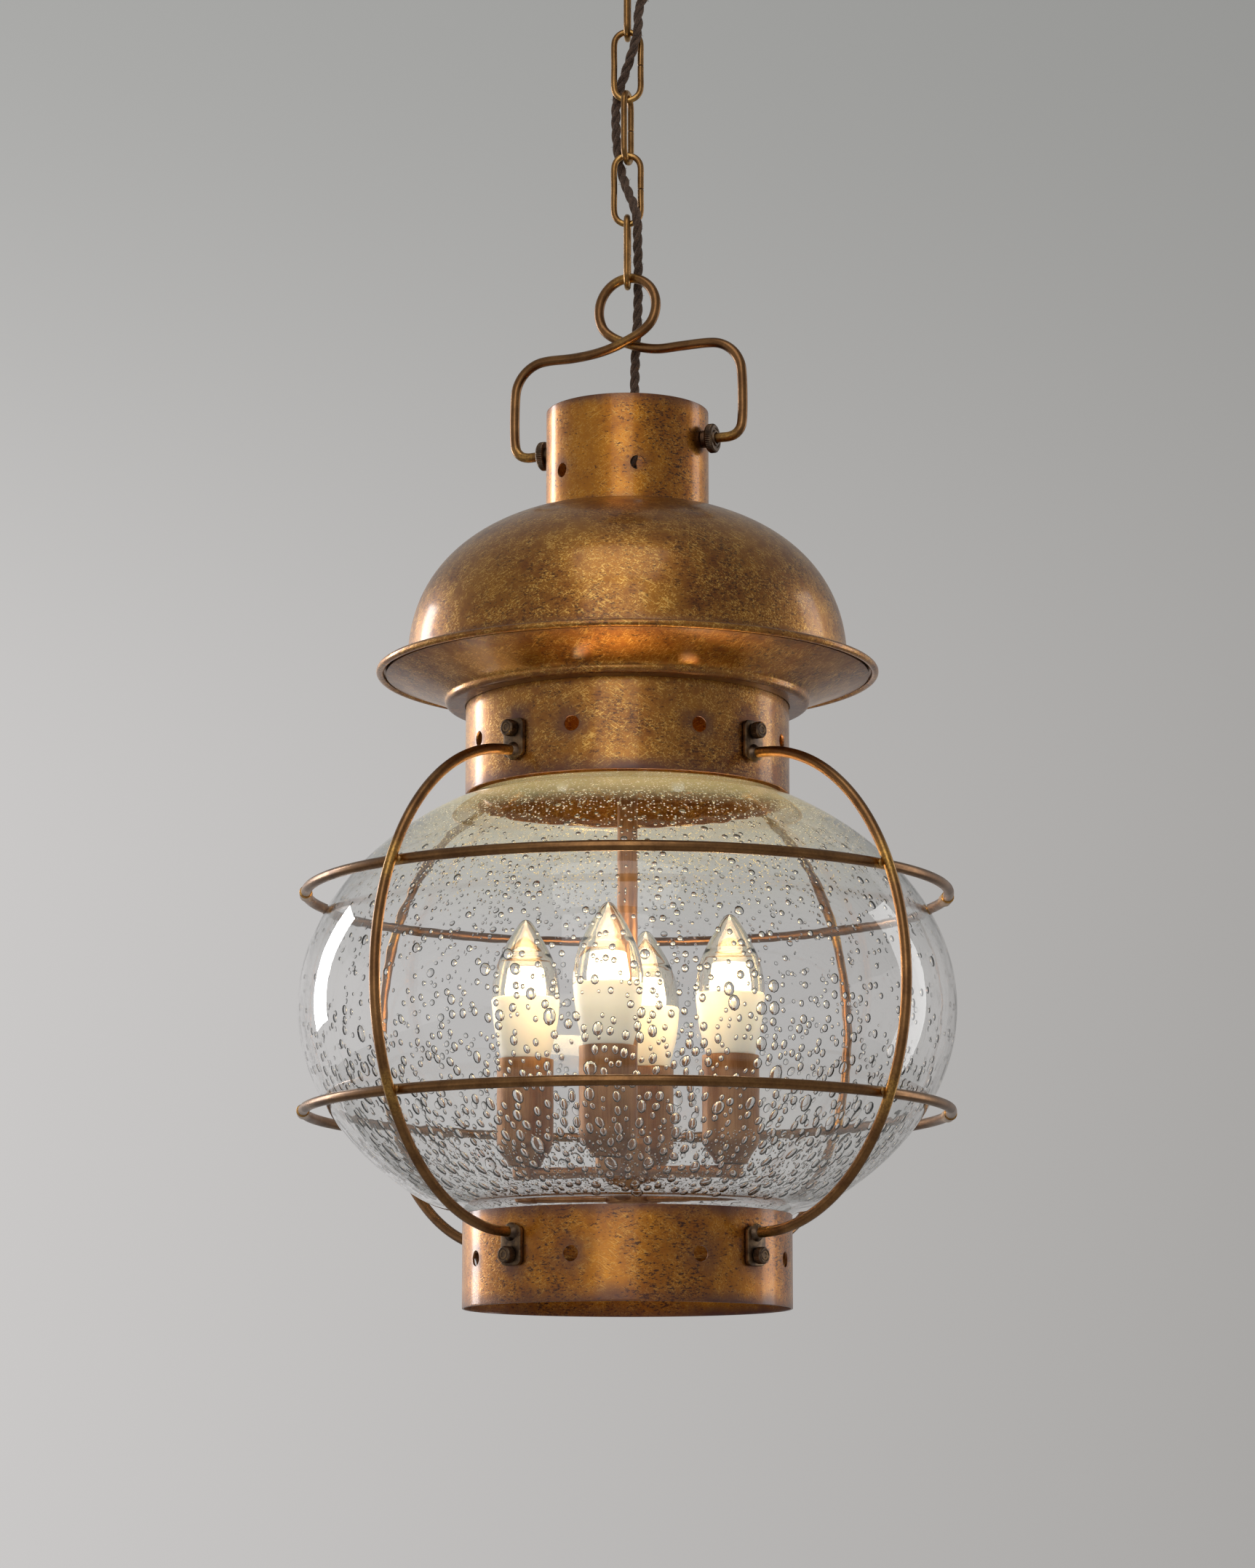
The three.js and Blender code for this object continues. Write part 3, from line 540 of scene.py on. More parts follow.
def cut_away(piece, cutter_bm):
    """Cuts a shape in millimetres out of a finished piece."""
    bmesh.ops.scale(cutter_bm, vec=(MM, MM, MM), verts=cutter_bm.verts)
    mesh = bpy.data.meshes.new("cutter")
    cutter_bm.to_mesh(mesh)
    cutter_bm.free()
    cutter = bpy.data.objects.new("cutter", mesh)
    bpy.context.scene.collection.objects.link(cutter)
    cut = piece.modifiers.new("cut", "BOOLEAN")
    cut.operation = "DIFFERENCE"
    cut.solver = "EXACT"
    cut.object = cutter
    seen = piece.evaluated_get(bpy.context.evaluated_depsgraph_get())
    old = piece.data
    piece.data = bpy.data.meshes.new_from_object(seen)
    piece.modifiers.clear()
    bpy.data.objects.remove(cutter)
    bpy.data.meshes.remove(old)
    piece.data.set_sharp_from_angle(angle=math.radians(30))


def hole_cutters(radius, z, azimuths, start=20, end=200):
    """Round bars that point outwards, one for each hole."""
    whole = bmesh.new()
    for azimuth in azimuths:
        bm = bmesh.new()
        bmesh.ops.create_cone(bm, cap_ends=True, radius1=radius, radius2=radius, depth=end - start, segments=40)
        bmesh.ops.translate(bm, verts=bm.verts, vec=(0, 0, (start + end) / 2))
        lay_out(bm, azimuth, z)
        take_in(whole, bm)
    return whole


def stain(piece, name, spots, reach, strength=1.0, edges=()):
    """Writes how much the finish is aged at each point: near spots, given in millimetres, and near heights."""
    mesh = piece.data
    values = []
    for v in mesh.vertices:
        here = v.co / MM
        near = min(((here - s).length for s in spots), default=1e9)
        near = min([near, *(abs(here.z - z) * 1.6 for z in edges)])
        wander = 1 + 0.55 * noise.noise(here / 9) + 0.3 * noise.noise(here / 3.1)
        share = max(0.0, 1 - near / (reach * max(0.3, wander)))
        values.append(strength * share * share * (3 - 2 * share))
    attribute = mesh.attributes.new(name, "FLOAT", "POINT")
    attribute.data.foreach_set("value", values)


# ---- cord: three braided strands twisted together ----
CORD_ROUTE = [
    (22, 0, -27), (22, 0, -38), (19, -1, -52), (11, -3, -64), (6.2, -4.2, -76), (5.4, -5.6, -89),
    (3.4, -4.2, -97), (0, 0, -107.5), (-3.6, 4.2, -118), (-5.6, 5.4, -126), (-6, 4.6, -142.6),
    (-4.6, 5.6, -158), (-2.6, 4.4, -168), (0, 0, -178.2), (3.2, -4.2, -188), (5, -5.8, -197),
    (5.4, -2.6, -210), (6, 3, -220), (6.2, 5.4, -229), (6, 7.2, -246), (5, 8.4, -266),
    (4.2, 6.4, -290), (3.4, 2.4, -320), (1.6, 0.4, -360), (0, 0, -400), (0, 0, -432),
]
# where each length of cord ends, and the two bodies above and below it
CORD_LENGTHS = [
    ("link_1", -73.6, "ceiling", "link_1"), ("link_2", -108.9, "link_1", "links_2_to_4"),
    ("link_4", -180, "links_2_to_4", None), ("link_5", -215.5, "links_2_to_4", "link_5"),
    ("bail", -278, "link_5", "bail"), ("canopy", -432, "bail", "lantern"),
]


def fibre(bm, foot, away, dice):
    """One loose cotton fibre: a thin cone, bent once."""
    long = dice.uniform(0.6, 1.4)
    lean = Vector([dice.uniform(-0.7, 0.7) for _ in range(3)])
    path = [foot, foot + away * long * 0.6, foot + (away + lean * 0.6) * long]
    draw_wire(bm, path, 0.07, 3)


def make_cord():
    dice = random.Random(11)
    path = smooth_path(CORD_ROUTE, 1.3)
    ways = headings(path)
    side = Vector((1, 0, 0))
    sides, run = [], [0.0]
    for i, way in enumerate(ways):
        side = (side - way * side.dot(way)).normalized()
        sides.append((side.copy(), way.cross(side)))
        if i:
            run.append(run[-1] + (path[i] - path[i - 1]).length)
    strands = []
    for k in range(3):
        strand = []
        for here, (across, over), s in zip(path, sides, run):
            angle = math.tau * (s / 23 + k / 3)
            strand.append(here + (across * math.cos(angle) + over * math.sin(angle)) * 1.4)
        strands.append(strand)
    start = 0
    for name, end_z, above, below in CORD_LENGTHS:
        end = min(range(start, len(path)), key=lambda i: abs(path[i].z - end_z))
        bm = bmesh.new()
        for strand in strands:
            part = bmesh.new()
            draw_wire(part, strand[start : end + 1], 1.3, 10)
            bmesh.ops.recalc_face_normals(part, faces=part.faces)
            take_in(bm, part)
        for _ in range(round((run[end] - run[start]) * 0.5)):
            i = dice.randrange(start, end)
            strand = strands[dice.randrange(3)]
            away = (strand[i] - path[i]).normalized()
            part = bmesh.new()
            fibre(part, strand[i] + away * 1.1, away, dice)
            bmesh.ops.recalc_face_normals(part, faces=part.faces)
            take_in(bm, part)
        cord = make_piece(f"cord_at_{name}", bm, cotton, None, ["supply_cord"])
        if name == "canopy":
            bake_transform(cord)
        elif below:
            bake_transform(cord)
        else:
            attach(cord, above)
        start = end


make_cord()


# ---- ceiling fitting ----
def make_ceiling_fitting():
    rose = spun(soften([(50, 0, 0.3), (49, -8, 3), (45, -23, 8), (36, -32, 5), (3.4, -32, 0.2), (3.4, -30.8, 0.2),
                        (34.8, -30.8, 4), (43.8, -23, 7), (47.8, -8, 3), (48.8, 0, 0.3)]), 128)
    rose = make_piece("rose_cover", rose, brass, "ceiling", ["ceiling_rose"])
    gland = bmesh.new()
    bmesh.ops.create_cone(gland, cap_ends=True, radius1=4.7, radius2=4.7, depth=10, segments=40)
    bmesh.ops.translate(gland, verts=gland.verts, vec=(22, 0, -32))
    cut_away(rose, gland)
    stain(rose, "patina", [Vector((22, 0, -32)), Vector((0, 0, -32))], 14, 0.8, edges=[-2])

    eye = [Vector((8 * math.cos(a), 0, -48 + 8 * math.sin(a))) for a in
           (math.radians(92 + 356 * i / 60) for i in range(61))]
    hook = wire_piece([eye], 2, 16, 0.2)
    for outline in ([(0, -41), (2.6, -41), (2.6, -34), (0, -34)],
                    [(0, -35.3), (7.2, -35.3, 0.5), (8, -34.4, 0.4), (8, -32.3, 0.3), (0, -32.3)],
                    [(0, -33), (3, -33), (3, -2.4, 0.6), (0, -1.8)]):
        part = spun(soften(outline), 48, closed=False)
        take_in(hook, part)
    make_piece("hook_and_stud", hook, chain_brass, "ceiling", ["ceiling_hook"])

    grip = spun(soften([(3.2, -38, 0.3), (5, -38, 0.5), (6, -37, 0.5), (6, -32.3, 0.3), (4.2, -32.3), (4.2, -26, 0.3),
                        (3.2, -26, 0.3)]), 72)
    knurl(grip, 72, -36.6, -32.6, 5.5, 0.25)
    bmesh.ops.translate(grip, verts=grip.verts, vec=(22, 0, 0))
    make_piece("cord_grip", grip, bronze, "ceiling", ["rose_cord_grip"])


# ---- chain ----
def arc(x, z, radius, start, end, count, shift=lambda t: 0):
    """Points on an arc in the XZ plane, in degrees from +X."""
    made = []
    for i in range(count):
        t = i / (count - 1)
        angle = math.radians(start + (end - start) * t)
        made.append(Vector((x + radius * math.cos(angle), shift(t), z + radius * math.sin(angle))))
    return made


def make_chain():
    wide, high = 7.25, 39.2
    for i, turn in enumerate((84, -4, 72, -6, 84)):
        points = [Vector((wide, 0, -high / 2 + 0.2)), Vector((wide, 0, -high / 2 + 6)), *arc(0, -wide, wide, 0, 180, 9),
                  Vector((-wide, 0, -high / 2)), *arc(0, wide - high, wide, 180, 360, 9),
                  Vector((wide, 0, -high / 2 - 6)), Vector((wide, 0, -high / 2 - 0.2))]
        bm = wire_piece([smooth_path(points, 1.2)], 1.7, 16, 0.25)
        turn_all(bm, turn)
        top = -52 - i * 35.5
        bmesh.ops.translate(bm, verts=bm.verts, vec=(0, 0, top))
        body = "links_2_to_4" if 0 < i < 4 else f"link_{i + 1}"
        link = make_piece(f"link_{i + 1}_wire", bm, chain_brass, body, [f"chain_link_{i + 1}"])
        stain(link, "rubbed", [Vector((0, 0, top - 1)), Vector((0, 0, top - 38))], 8, 0.8)


# ---- bail ----
BAIL_TURN = -26


def bail_arm(side):
    rise = [(-12.8, -257.8), (-7.2, -261.6), (0, -264.8), (7.2, -267.4), (17, -269.4)]
    away = [2.9, 2.9, 2.9, 2.9, 2.32]
    start = [Vector((side * x, side * y, z)) for (x, z), y in zip(rise, away)]
    rest = [Vector((32, 0, -270)), *arc(47.7, -289, 19, 90, 0, 6), *arc(58.7, -315.4, 8, 0, -90, 4),
            Vector((55.5, 0, -323.4)), Vector((40, 0, -323.4))]
    for p in rest:
        p.x *= side
    return start + rest


def make_bail():
    loop = arc(0, -246.2, 17.7, -28, 208, 14, lambda t: 2.9 * (2 * t - 1))
    path = smooth_path([*reversed(bail_arm(-1)), *loop, *bail_arm(1)], 1.7)
    bm = wire_piece([path], 2.65, 20, 0.5)
    turn_all(bm, BAIL_TURN)
    bail = make_piece("bail_wire", bm, wire_brass, "bail", ["bail"])
    ends = [polar(s * 58, BAIL_TURN + 90, -323.4) for s in (-1, 1)]
    stain(bail, "rubbed", [*ends, Vector((0, 0, -264)), Vector((0, 0, -229))], 12, 0.7)
    for name, azimuth in (("right", BAIL_TURN + 90), ("left", BAIL_TURN + 270)):
        nut = spun(soften([(3.1, 44.2), (4.7, 44.2, 0.2), (4.7, 47.2), (6.9, 47.2, 0.3), (7.9, 48.1, 0.3), (7.9, 50.8, 0.3),
                           (6.9, 51.7, 0.3), (5.6, 51.7), (5.2, 51.2), (4.6, 51.2), (4.2, 52.2, 0.3), (3.1, 52.2, 0.2)]), 92)
        knurl(nut, 92, 47.6, 51.4, 7.2, 0.32)
        lay_out(nut, azimuth, -323.4)
        make_piece(f"knurled_nut_{name}", nut, bronze, "lantern", [f"bail_nut_{name}"], 24)


# ---- brass body ----
def tube_outline(radius, wall, top, bottom, lip=0.35):
    """The wall of a tube, with points every 3 mm so that stains have somewhere to sit."""
    rows = max(2, round((top - bottom) / 3))
    heights = [top - 1 - (top - bottom - 2) * i / rows for i in range(rows + 1)]
    outer = [(radius, top, lip), *[(radius, z) for z in heights], (radius, bottom, lip)]
    inner = [(radius - wall, bottom, lip), *[(radius - wall, z) for z in reversed(heights)], (radius - wall, top, lip)]
    return soften([*outer, *inner])


def make_chimney():
    chimney = spun(tube_outline(43.9, 1, -304.7, -372), 180)
    chimney = make_piece("chimney_tube", chimney, gold_brass, "lantern", ["chimney"])
    pivots = [BAIL_TURN + 90, BAIL_TURN + 270]
    vents = [BAIL_TURN + 90 + step for step in (60, 120, 240, 300)]
    cutters = hole_cutters(3.9, -342.7, vents)
    take_in(cutters, hole_cutters(3.1, -323.4, pivots))
    cut_away(chimney, cutters)
    spots = [polar(43.9, a, -342.7) for a in vents] + [polar(43.9, a, -323.4) for a in pivots]
    stain(chimney, "patina", spots, 11, 0.9, edges=[-304.7, -365])


def dome_outline():
    """From the flange round the chimney, over the crown, to the flat brim and its rolled bead, and back inside."""
    crown = []
    for i in range(31):
        r = 44.2 + 73.6 * math.sin(math.radians(90 * i / 30)) ** 0.95
        z = -445.3 + 89 * max(0.0, 1 - (r / 117.8) ** 2.3) ** (1 / 2.3)
        crown.append((r, min(z, -364.5)))
    crown[-1] = (117.8, -443.9)
    brim = [(118.3, -444.7), (119.4, -445.2), (120.4, -445.0), (121.2, -445.3), (128, -446.6)]
    bead = [(132.4 + 2 * math.cos(math.radians(a)), -448.9 + 2 * math.sin(math.radians(a)))
            for a in range(100, -211, -20)]
    under = [(120.4, -446.2), (116.8, -445.9)]
    back = [(max(44.2, r - 1.0), z - 0.85) for r, z in reversed(crown[2:-1])]
    return [*crown, *brim, *bead, *under, *back, (44.2, -365.6)]


def make_dome():
    dome = spun(dome_outline(), 180)
    dome = make_piece("dome_shell", dome, brass, "lantern", ["dome"], 50)
    stain(dome, "patina", [], 7, 0.75, edges=[-364.5, -444.8])

    outer = [(129.2, -450.4), (126.5, -451.4), (118, -454.4), (110, -457.4), (103.5, -459.9), (100.2, -461.4),
             (98.4, -462.5), (97.6, -463.4)]
    roll = [(94.3 + 3.3 * math.cos(math.radians(a)), -464.0 + 3.2 * math.sin(math.radians(a))) for a in range(0, -91, -15)]
    inner = [(86.9, -467.2), (86.9, -466.2), (94, -466.2)]
    back = [(r - 0.35, z + 0.95) for r, z in reversed(outer)]
    pan = make_piece("pan_sheet", spun([*outer, *roll, *inner, *back], 180), brass, "lantern", ["canopy_pan"],
                     50)
    stain(pan, "patina", [], 5, 0.8, edges=[-467.4, -450])


def make_collar(name, top, bottom, holes_z, material):
    collar = make_piece(f"{name}_tube", spun(tube_outline(86.4, 1, top, bottom), 192), material, "lantern", [name])
    vents = [22.5 + 45 * i for i in range(8)]
    screws = [azimuth for _, azimuth in corners]
    cutters = hole_cutters(4.1, holes_z, vents)
    take_in(cutters, hole_cutters(1.8, holes_z, screws))
    cut_away(collar, cutters)
    dark = [polar(86.4, a, holes_z) for a in vents] + [polar(86.4, a, holes_z + s) for a in screws for s in (-4, 4)]
    stain(collar, "patina", dark, 15, 1.0, edges=[top, bottom])


def make_body():
    make_chimney()
    make_dome()
    make_collar("upper_collar", -452, -515.5, -490.8, brass)
    make_collar("lower_collar", -738, -786.9, -762.7, gold_brass)
    seat = spun(soften([(84.6, -754.6, 0.3), (84.6, -756.2, 0.3), (76, -756.2, 0.3), (76, -754.6, 0.3)]), 128)
    make_piece("seat_ring", seat, brass, "lantern", ["globe_seat"])


# ---- glass ----
def globe_profile():
    """The outside of the globe from its upper neck to its lower neck, as [radius, z] points 1.5 mm apart."""
    points = [(81.8, -503), (81.8, -508), (81.8, -513), (83.3, -516.6), (88.2, -519.2)]
    for angle in range(57, -43, -3):
        a = math.radians(angle)
        points.append((173.8 * math.cos(a), -629 + 128.4 * math.sin(a)))
    points += [(121, -721.2), (112, -727.4), (104.6, -731.4), (97, -734.2), (90, -736), (86, -738.6), (84.4, -742.6),
               (84.2, -747.6), (84.2, -753.8)]
    return smooth_path([(r, 0, z) for r, z in points], 2.2)


def wall_points(profile):
    """Each point of the outside with the direction out of the glass."""
    return [(p, Vector((-way.z, 0, way.x))) for p, way in zip(profile, headings(profile))]


def make_globe():
    wall = wall_points(globe_profile())
    outside = [(p.x, p.z) for p, _ in wall]
    inside = [(p.x - 2.6 * out.x, p.z - 2.6 * out.z) for p, out in wall]
    globe = spun([*outside, *reversed(inside)], 168)
    globe = make_piece("seeded_globe", globe, glass, "lantern", ["glass_globe"], 60)
    globe.visible_shadow = False
    return wall


def bubble_size(z, dice):
    """Half sizes along and across for a bubble at this height, and how many there are in a square centimetre."""
    low = min(1.0, max(0.0, (-618 - z) / 85))
    high = min(1.0, max(0.0, (z + 590) / 50))
    crowd = 1.5 + 6.0 * low + 1.8 * high
    across = dice.uniform(0.7, 1.75) * (1 - 0.4 * high) * (1 + 0.4 * low)
    if dice.random() < 0.16:
        across *= 1.6
    along = across * (1.05 + dice.uniform(0.2, 0.9) * low)
    return along, across, crowd


def clear_of_others(taken, here, reach):
    """Keeps two bubbles from running into each other. taken sorts them into 6 mm cells."""
    cell = tuple(int(c // 6) for c in here)
    for dx in (-1, 0, 1):
        for dy in (-1, 0, 1):
            for dz in (-1, 0, 1):
                for other, size in taken.get((cell[0] + dx, cell[1] + dy, cell[2] + dz), ()):
                    if (other - here).length < reach + size + 0.1:
                        return False
    taken.setdefault(cell, []).append((here, reach))
    return True


def unit_ball(faces):
    """The corners and faces of a small ball that every bubble copies."""
    bm = bmesh.new()
    if faces == "few":
        bmesh.ops.create_icosphere(bm, subdivisions=1, radius=1)
    else:
        bmesh.ops.create_uvsphere(bm, u_segments=10, v_segments=6, radius=1)
    bm.verts.index_update()
    corners = [v.co.copy() for v in bm.verts]
    # turned over, so the faces point into the air of the bubble
    rings = [[v.index for v in reversed(f.verts)] for f in bm.faces]
    bm.free()
    return corners, rings


def cavity(bm, ball, here, out, lean, along, across, deep):
    """One flattened bubble."""
    across_way = Vector((0, 0, 1)).cross(out).normalized()
    up = out.cross(across_way)
    long = (up * math.cos(lean) + across_way * math.sin(lean)).normalized()
    wide = long.cross(out)
    place = Matrix.Translation(here) @ Matrix((
        (wide.x * across, long.x * along, out.x * deep, 0),
        (wide.y * across, long.y * along, out.y * deep, 0),
        (wide.z * across, long.z * along, out.z * deep, 0),
        (0, 0, 0, 1),
    ))
    corners, rings = ball
    verts = [bm.verts.new(place @ corner) for corner in corners]
    for ring in rings:
        bm.faces.new([verts[i] for i in ring])


def scatter(name, wall, low, high, count_for, dice, taken, faces="more"):
    """Fills a band of the glass with bubbles."""
    whole = bmesh.new()
    ball = unit_ball(faces)
    rows = [(p, out, (q - p).length) for (p, out), (q, _) in zip(wall, wall[1:]) if low <= p.z < high]
    for p, out, step in rows:
        expected = count_for(p.z) * math.tau * p.x * step / 100
        for _ in range(int(expected + dice.random())):
            round_way = dice.uniform(0, math.tau)
            # the gather left fewer bubbles towards two sides
            if dice.random() > 0.25 + 0.75 * math.sin(round_way) ** 2:
                continue
            turn = Matrix.Rotation(round_way, 3, "Z")
            slide = dice.uniform(-0.5, 0.5) * step
            outward = turn @ out
            if faces == "few":
                across = dice.uniform(0.3, 0.65)
                along, depth, deep = across * dice.uniform(1.2, 2.6), dice.uniform(0.8, 1.8), across * 0.8
            else:
                along, across, _ = bubble_size(p.z, dice)
                depth, deep = dice.uniform(1.1, 1.5), min(0.5, across * 0.26)
            here = turn @ (p - out * depth + Vector((-out.z, 0, out.x)) * slide)
            side = here.x / 170
            lean = dice.gauss(0.0, 0.16) - max(0.0, side) * 0.5
            if not clear_of_others(taken, here, (along + across) / 2):
                continue
            cavity(whole, ball, here, outward, lean, along, across, deep)
    piece = make_piece(name, whole, air, "lantern", ["glass_globe"], 180)
    piece.visible_shadow = False


def make_glass():
    dice = random.Random(317)
    wall = make_globe()
    taken = {}

    def crowd(z):
        return bubble_size(z, random.Random(0))[2]

    scatter("bubbles_low", wall, -734, -690, crowd, dice, taken)
    scatter("bubbles_middle", wall, -690, -640, crowd, dice, taken)
    scatter("bubbles_high", wall, -640, -524, crowd, dice, taken)
    scatter("seeds_above", wall, -600, -540, lambda z: 3.0, dice, taken, "few")
    scatter("seeds_below", wall, -734, -704, lambda z: 24, dice, taken, "few")
    shell = [(p, out) for p, out in wall if -557 < p.z < -515.8]
    front = [(p.x - 0.9 * out.x, p.z - 0.9 * out.z) for p, out in shell]
    back = [(p.x - 1.0 * out.x, p.z - 1.0 * out.z) for p, out in shell]
    haze = make_piece("seeds_at_neck", spun([*front, *reversed(back)], 168), veil, "lantern", ["glass_globe"],
                      60)
    haze.visible_shadow = False
    # faces turned inwards, towards the lamps, take the darker copy of the veil as painted shade
    haze.data.materials.append(shaded_inner_veil)
    for polygon in haze.data.polygons:
        if polygon.normal.xy.dot(polygon.center.xy) < 0:
            polygon.material_index = 1


# ---- guard ----
def make_rod(name, azimuth):
    path = [Vector((89.2, 0, -502.5))]
    path += [Vector((92 + 95.4 * math.cos(math.radians(a)), 0, -626.75 + 124.25 * math.sin(math.radians(a))))
             for a in (90 - 180 * i / 24 for i in range(25))]
    path += [Vector((89.2, 0, -751))]
    bm = wire_piece([smooth_path(path, 2.6)], 2.75, 18, 0.1)
    turn_all(bm, azimuth - 90)
    rod = make_piece(f"rod_{name}", bm, wire_brass, "lantern", [f"guard_rod_{name}"])
    joints = [polar(91, azimuth, z) for z in (-502.5, -751)] + [polar(176, azimuth, z) for z in (-569, -684.5)]
    stain(rod, "rubbed", joints, 15, 0.85)


def make_lug(name, azimuth, level, centre_z, screw_z, rod_z):
    """A plate with rounded corners and a low boss that takes the rod's end."""
    bm = bmesh.new()
    bmesh.ops.create_cube(bm, size=1, matrix=Matrix.Diagonal((2.2, 13.5, 20.3, 1)))
    upright = [e for e in bm.edges if abs(e.verts[0].co.x - e.verts[1].co.x) > 1]
    bmesh.ops.bevel(bm, geom=upright, offset=3, segments=6, affect="EDGES", profile=0.5, material=-1)
    rims = [e for e in bm.edges if abs(e.verts[0].co.x - e.verts[1].co.x) < 0.1]
    bmesh.ops.bevel(bm, geom=rims, offset=0.35, segments=2, affect="EDGES", profile=0.5, material=-1)
    bmesh.ops.translate(bm, verts=bm.verts, vec=(86.7 + 1.1, 0, centre_z))
    boss = spun(soften([(0, 88.4), (4.9, 88.4), (4.3, 89.7, 0.8), (3.3, 90.9, 0.5), (2.85, 91.2), (0, 91.2)]), 32, closed=False)
    lay_out(boss, 90, rod_z)
    take_in(bm, boss)
    turn_all(bm, azimuth - 90)
    make_piece(f"{level}_plate_{name}", bm, bronze, "lantern", [f"{level}_lug_{name}"], 30)

    screw = spun(soften([(0, 83), (1.0, 83), (1.4, 83.6), (1.4, 89.2), (3.6, 89.2), (4.35, 89.7, 0.2), (4.35, 93.4, 0.2),
                         (3.75, 94.2, 0.3), (3.1, 94.2), (2.9, 93.9), (2.5, 93.9), (2.3, 94.2), (1.5, 94.2), (1.3, 93.9),
                         (0, 93.9)]), 72, closed=False)
    knurl(screw, 72, 89.5, 93.7, 4.0, 0.22)
    lay_out(screw, azimuth, screw_z)
    make_piece(f"{level}_knurled_screw_{name}", screw, bronze, "lantern", [f"{level}_screw_{name}"], 24)


def ring_points(start, end, z):
    count = max(2, round(abs(end - start) / 1.2))
    angles = [math.radians(start + (end - start) * i / count) for i in range(count + 1)]
    return [Vector((170.2 * math.cos(a), 170.2 * math.sin(a), z)) for a in angles]


def along_y(outline, x, z, closed=True):
    """A small turned part whose axis lies along Y."""
    bm = spun(soften(outline), 40, closed)
    bmesh.ops.rotate(bm, verts=bm.verts, cent=(0, 0, 0), matrix=Matrix.Rotation(-math.pi / 2, 3, "X"))
    bmesh.ops.translate(bm, verts=bm.verts, vec=(x, 0, z))
    return bm


def make_ring(level, z):
    clear_by = math.degrees(6 / 170.2)
    back = wire_piece([ring_points(clear_by, 180 - clear_by, z)], 2.75, 18, 0.1)
    sleeve = [(2.4, -7, 0.2), (3.2, -7, 0.3), (3.45, -6.5, 0.3), (3.45, 6.3, 0.4), (2.9, 7, 0.4), (2.4, 7), (2.4, 1.8)]
    for x in (-170.2, 170.2):
        take_in(back, along_y(sleeve, x, z))
    # brazing where each rod crosses the ring
    for azimuth in (135, -135):
        bead = bmesh.new()
        place = Matrix.Translation(polar(173.2, azimuth, z)) @ Matrix.Rotation(math.radians(azimuth), 4, "Z")
        bmesh.ops.create_uvsphere(bead, u_segments=20, v_segments=12, radius=1, matrix=place @ Matrix.Diagonal((3.6, 1.5, 2.2, 1)))
        take_in(back, bead)
    piece = make_piece(f"{level}_ring_back_wire", back, wire_brass, "lantern", [f"{level}_ring_back"])
    sockets = [Vector((x, y, z)) for x in (-170.2, 170.2) for y in (-7, 7)]
    stain(piece, "rubbed", sockets + [polar(173, a, z) for a in (135, -135)], 7, 0.9)

    stop = math.degrees(7.5 / 170.2)
    front = wire_piece([ring_points(180 + stop, 360 - stop, z)], 2.75, 18, 0.3)
    pin = [(0, -9.4), (1.6, -9.4), (1.6, 0.6, 0.4), (0, 1)]
    for x in (-170.2, 170.2):
        take_in(front, along_y(pin, x, z, closed=False))
    for azimuth in (45, -45):
        bead = bmesh.new()
        place = Matrix.Translation(polar(173.2, azimuth, z)) @ Matrix.Rotation(math.radians(azimuth), 4, "Z")
        bmesh.ops.create_uvsphere(bead, u_segments=20, v_segments=12, radius=1, matrix=place @ Matrix.Diagonal((3.6, 1.5, 2.2, 1)))
        take_in(front, bead)
    piece = make_piece(f"{level}_ring_front_wire", front, wire_brass, "lantern", [f"{level}_ring_front"])
    stain(piece, "rubbed", sockets + [polar(173, a, z) for a in (45, -45)], 7, 0.9)


def make_guard():
    for name, azimuth in corners:
        make_rod(name, azimuth)
        make_lug(name, azimuth, "upper", -495.65, -490.8, -502.5)
        make_lug(name, azimuth, "lower", -757.85, -762.7, -751)
    make_ring("upper", -569)
    make_ring("lower", -684.5)


# ---- light cluster ----
CLUSTER_TURN = -13.4


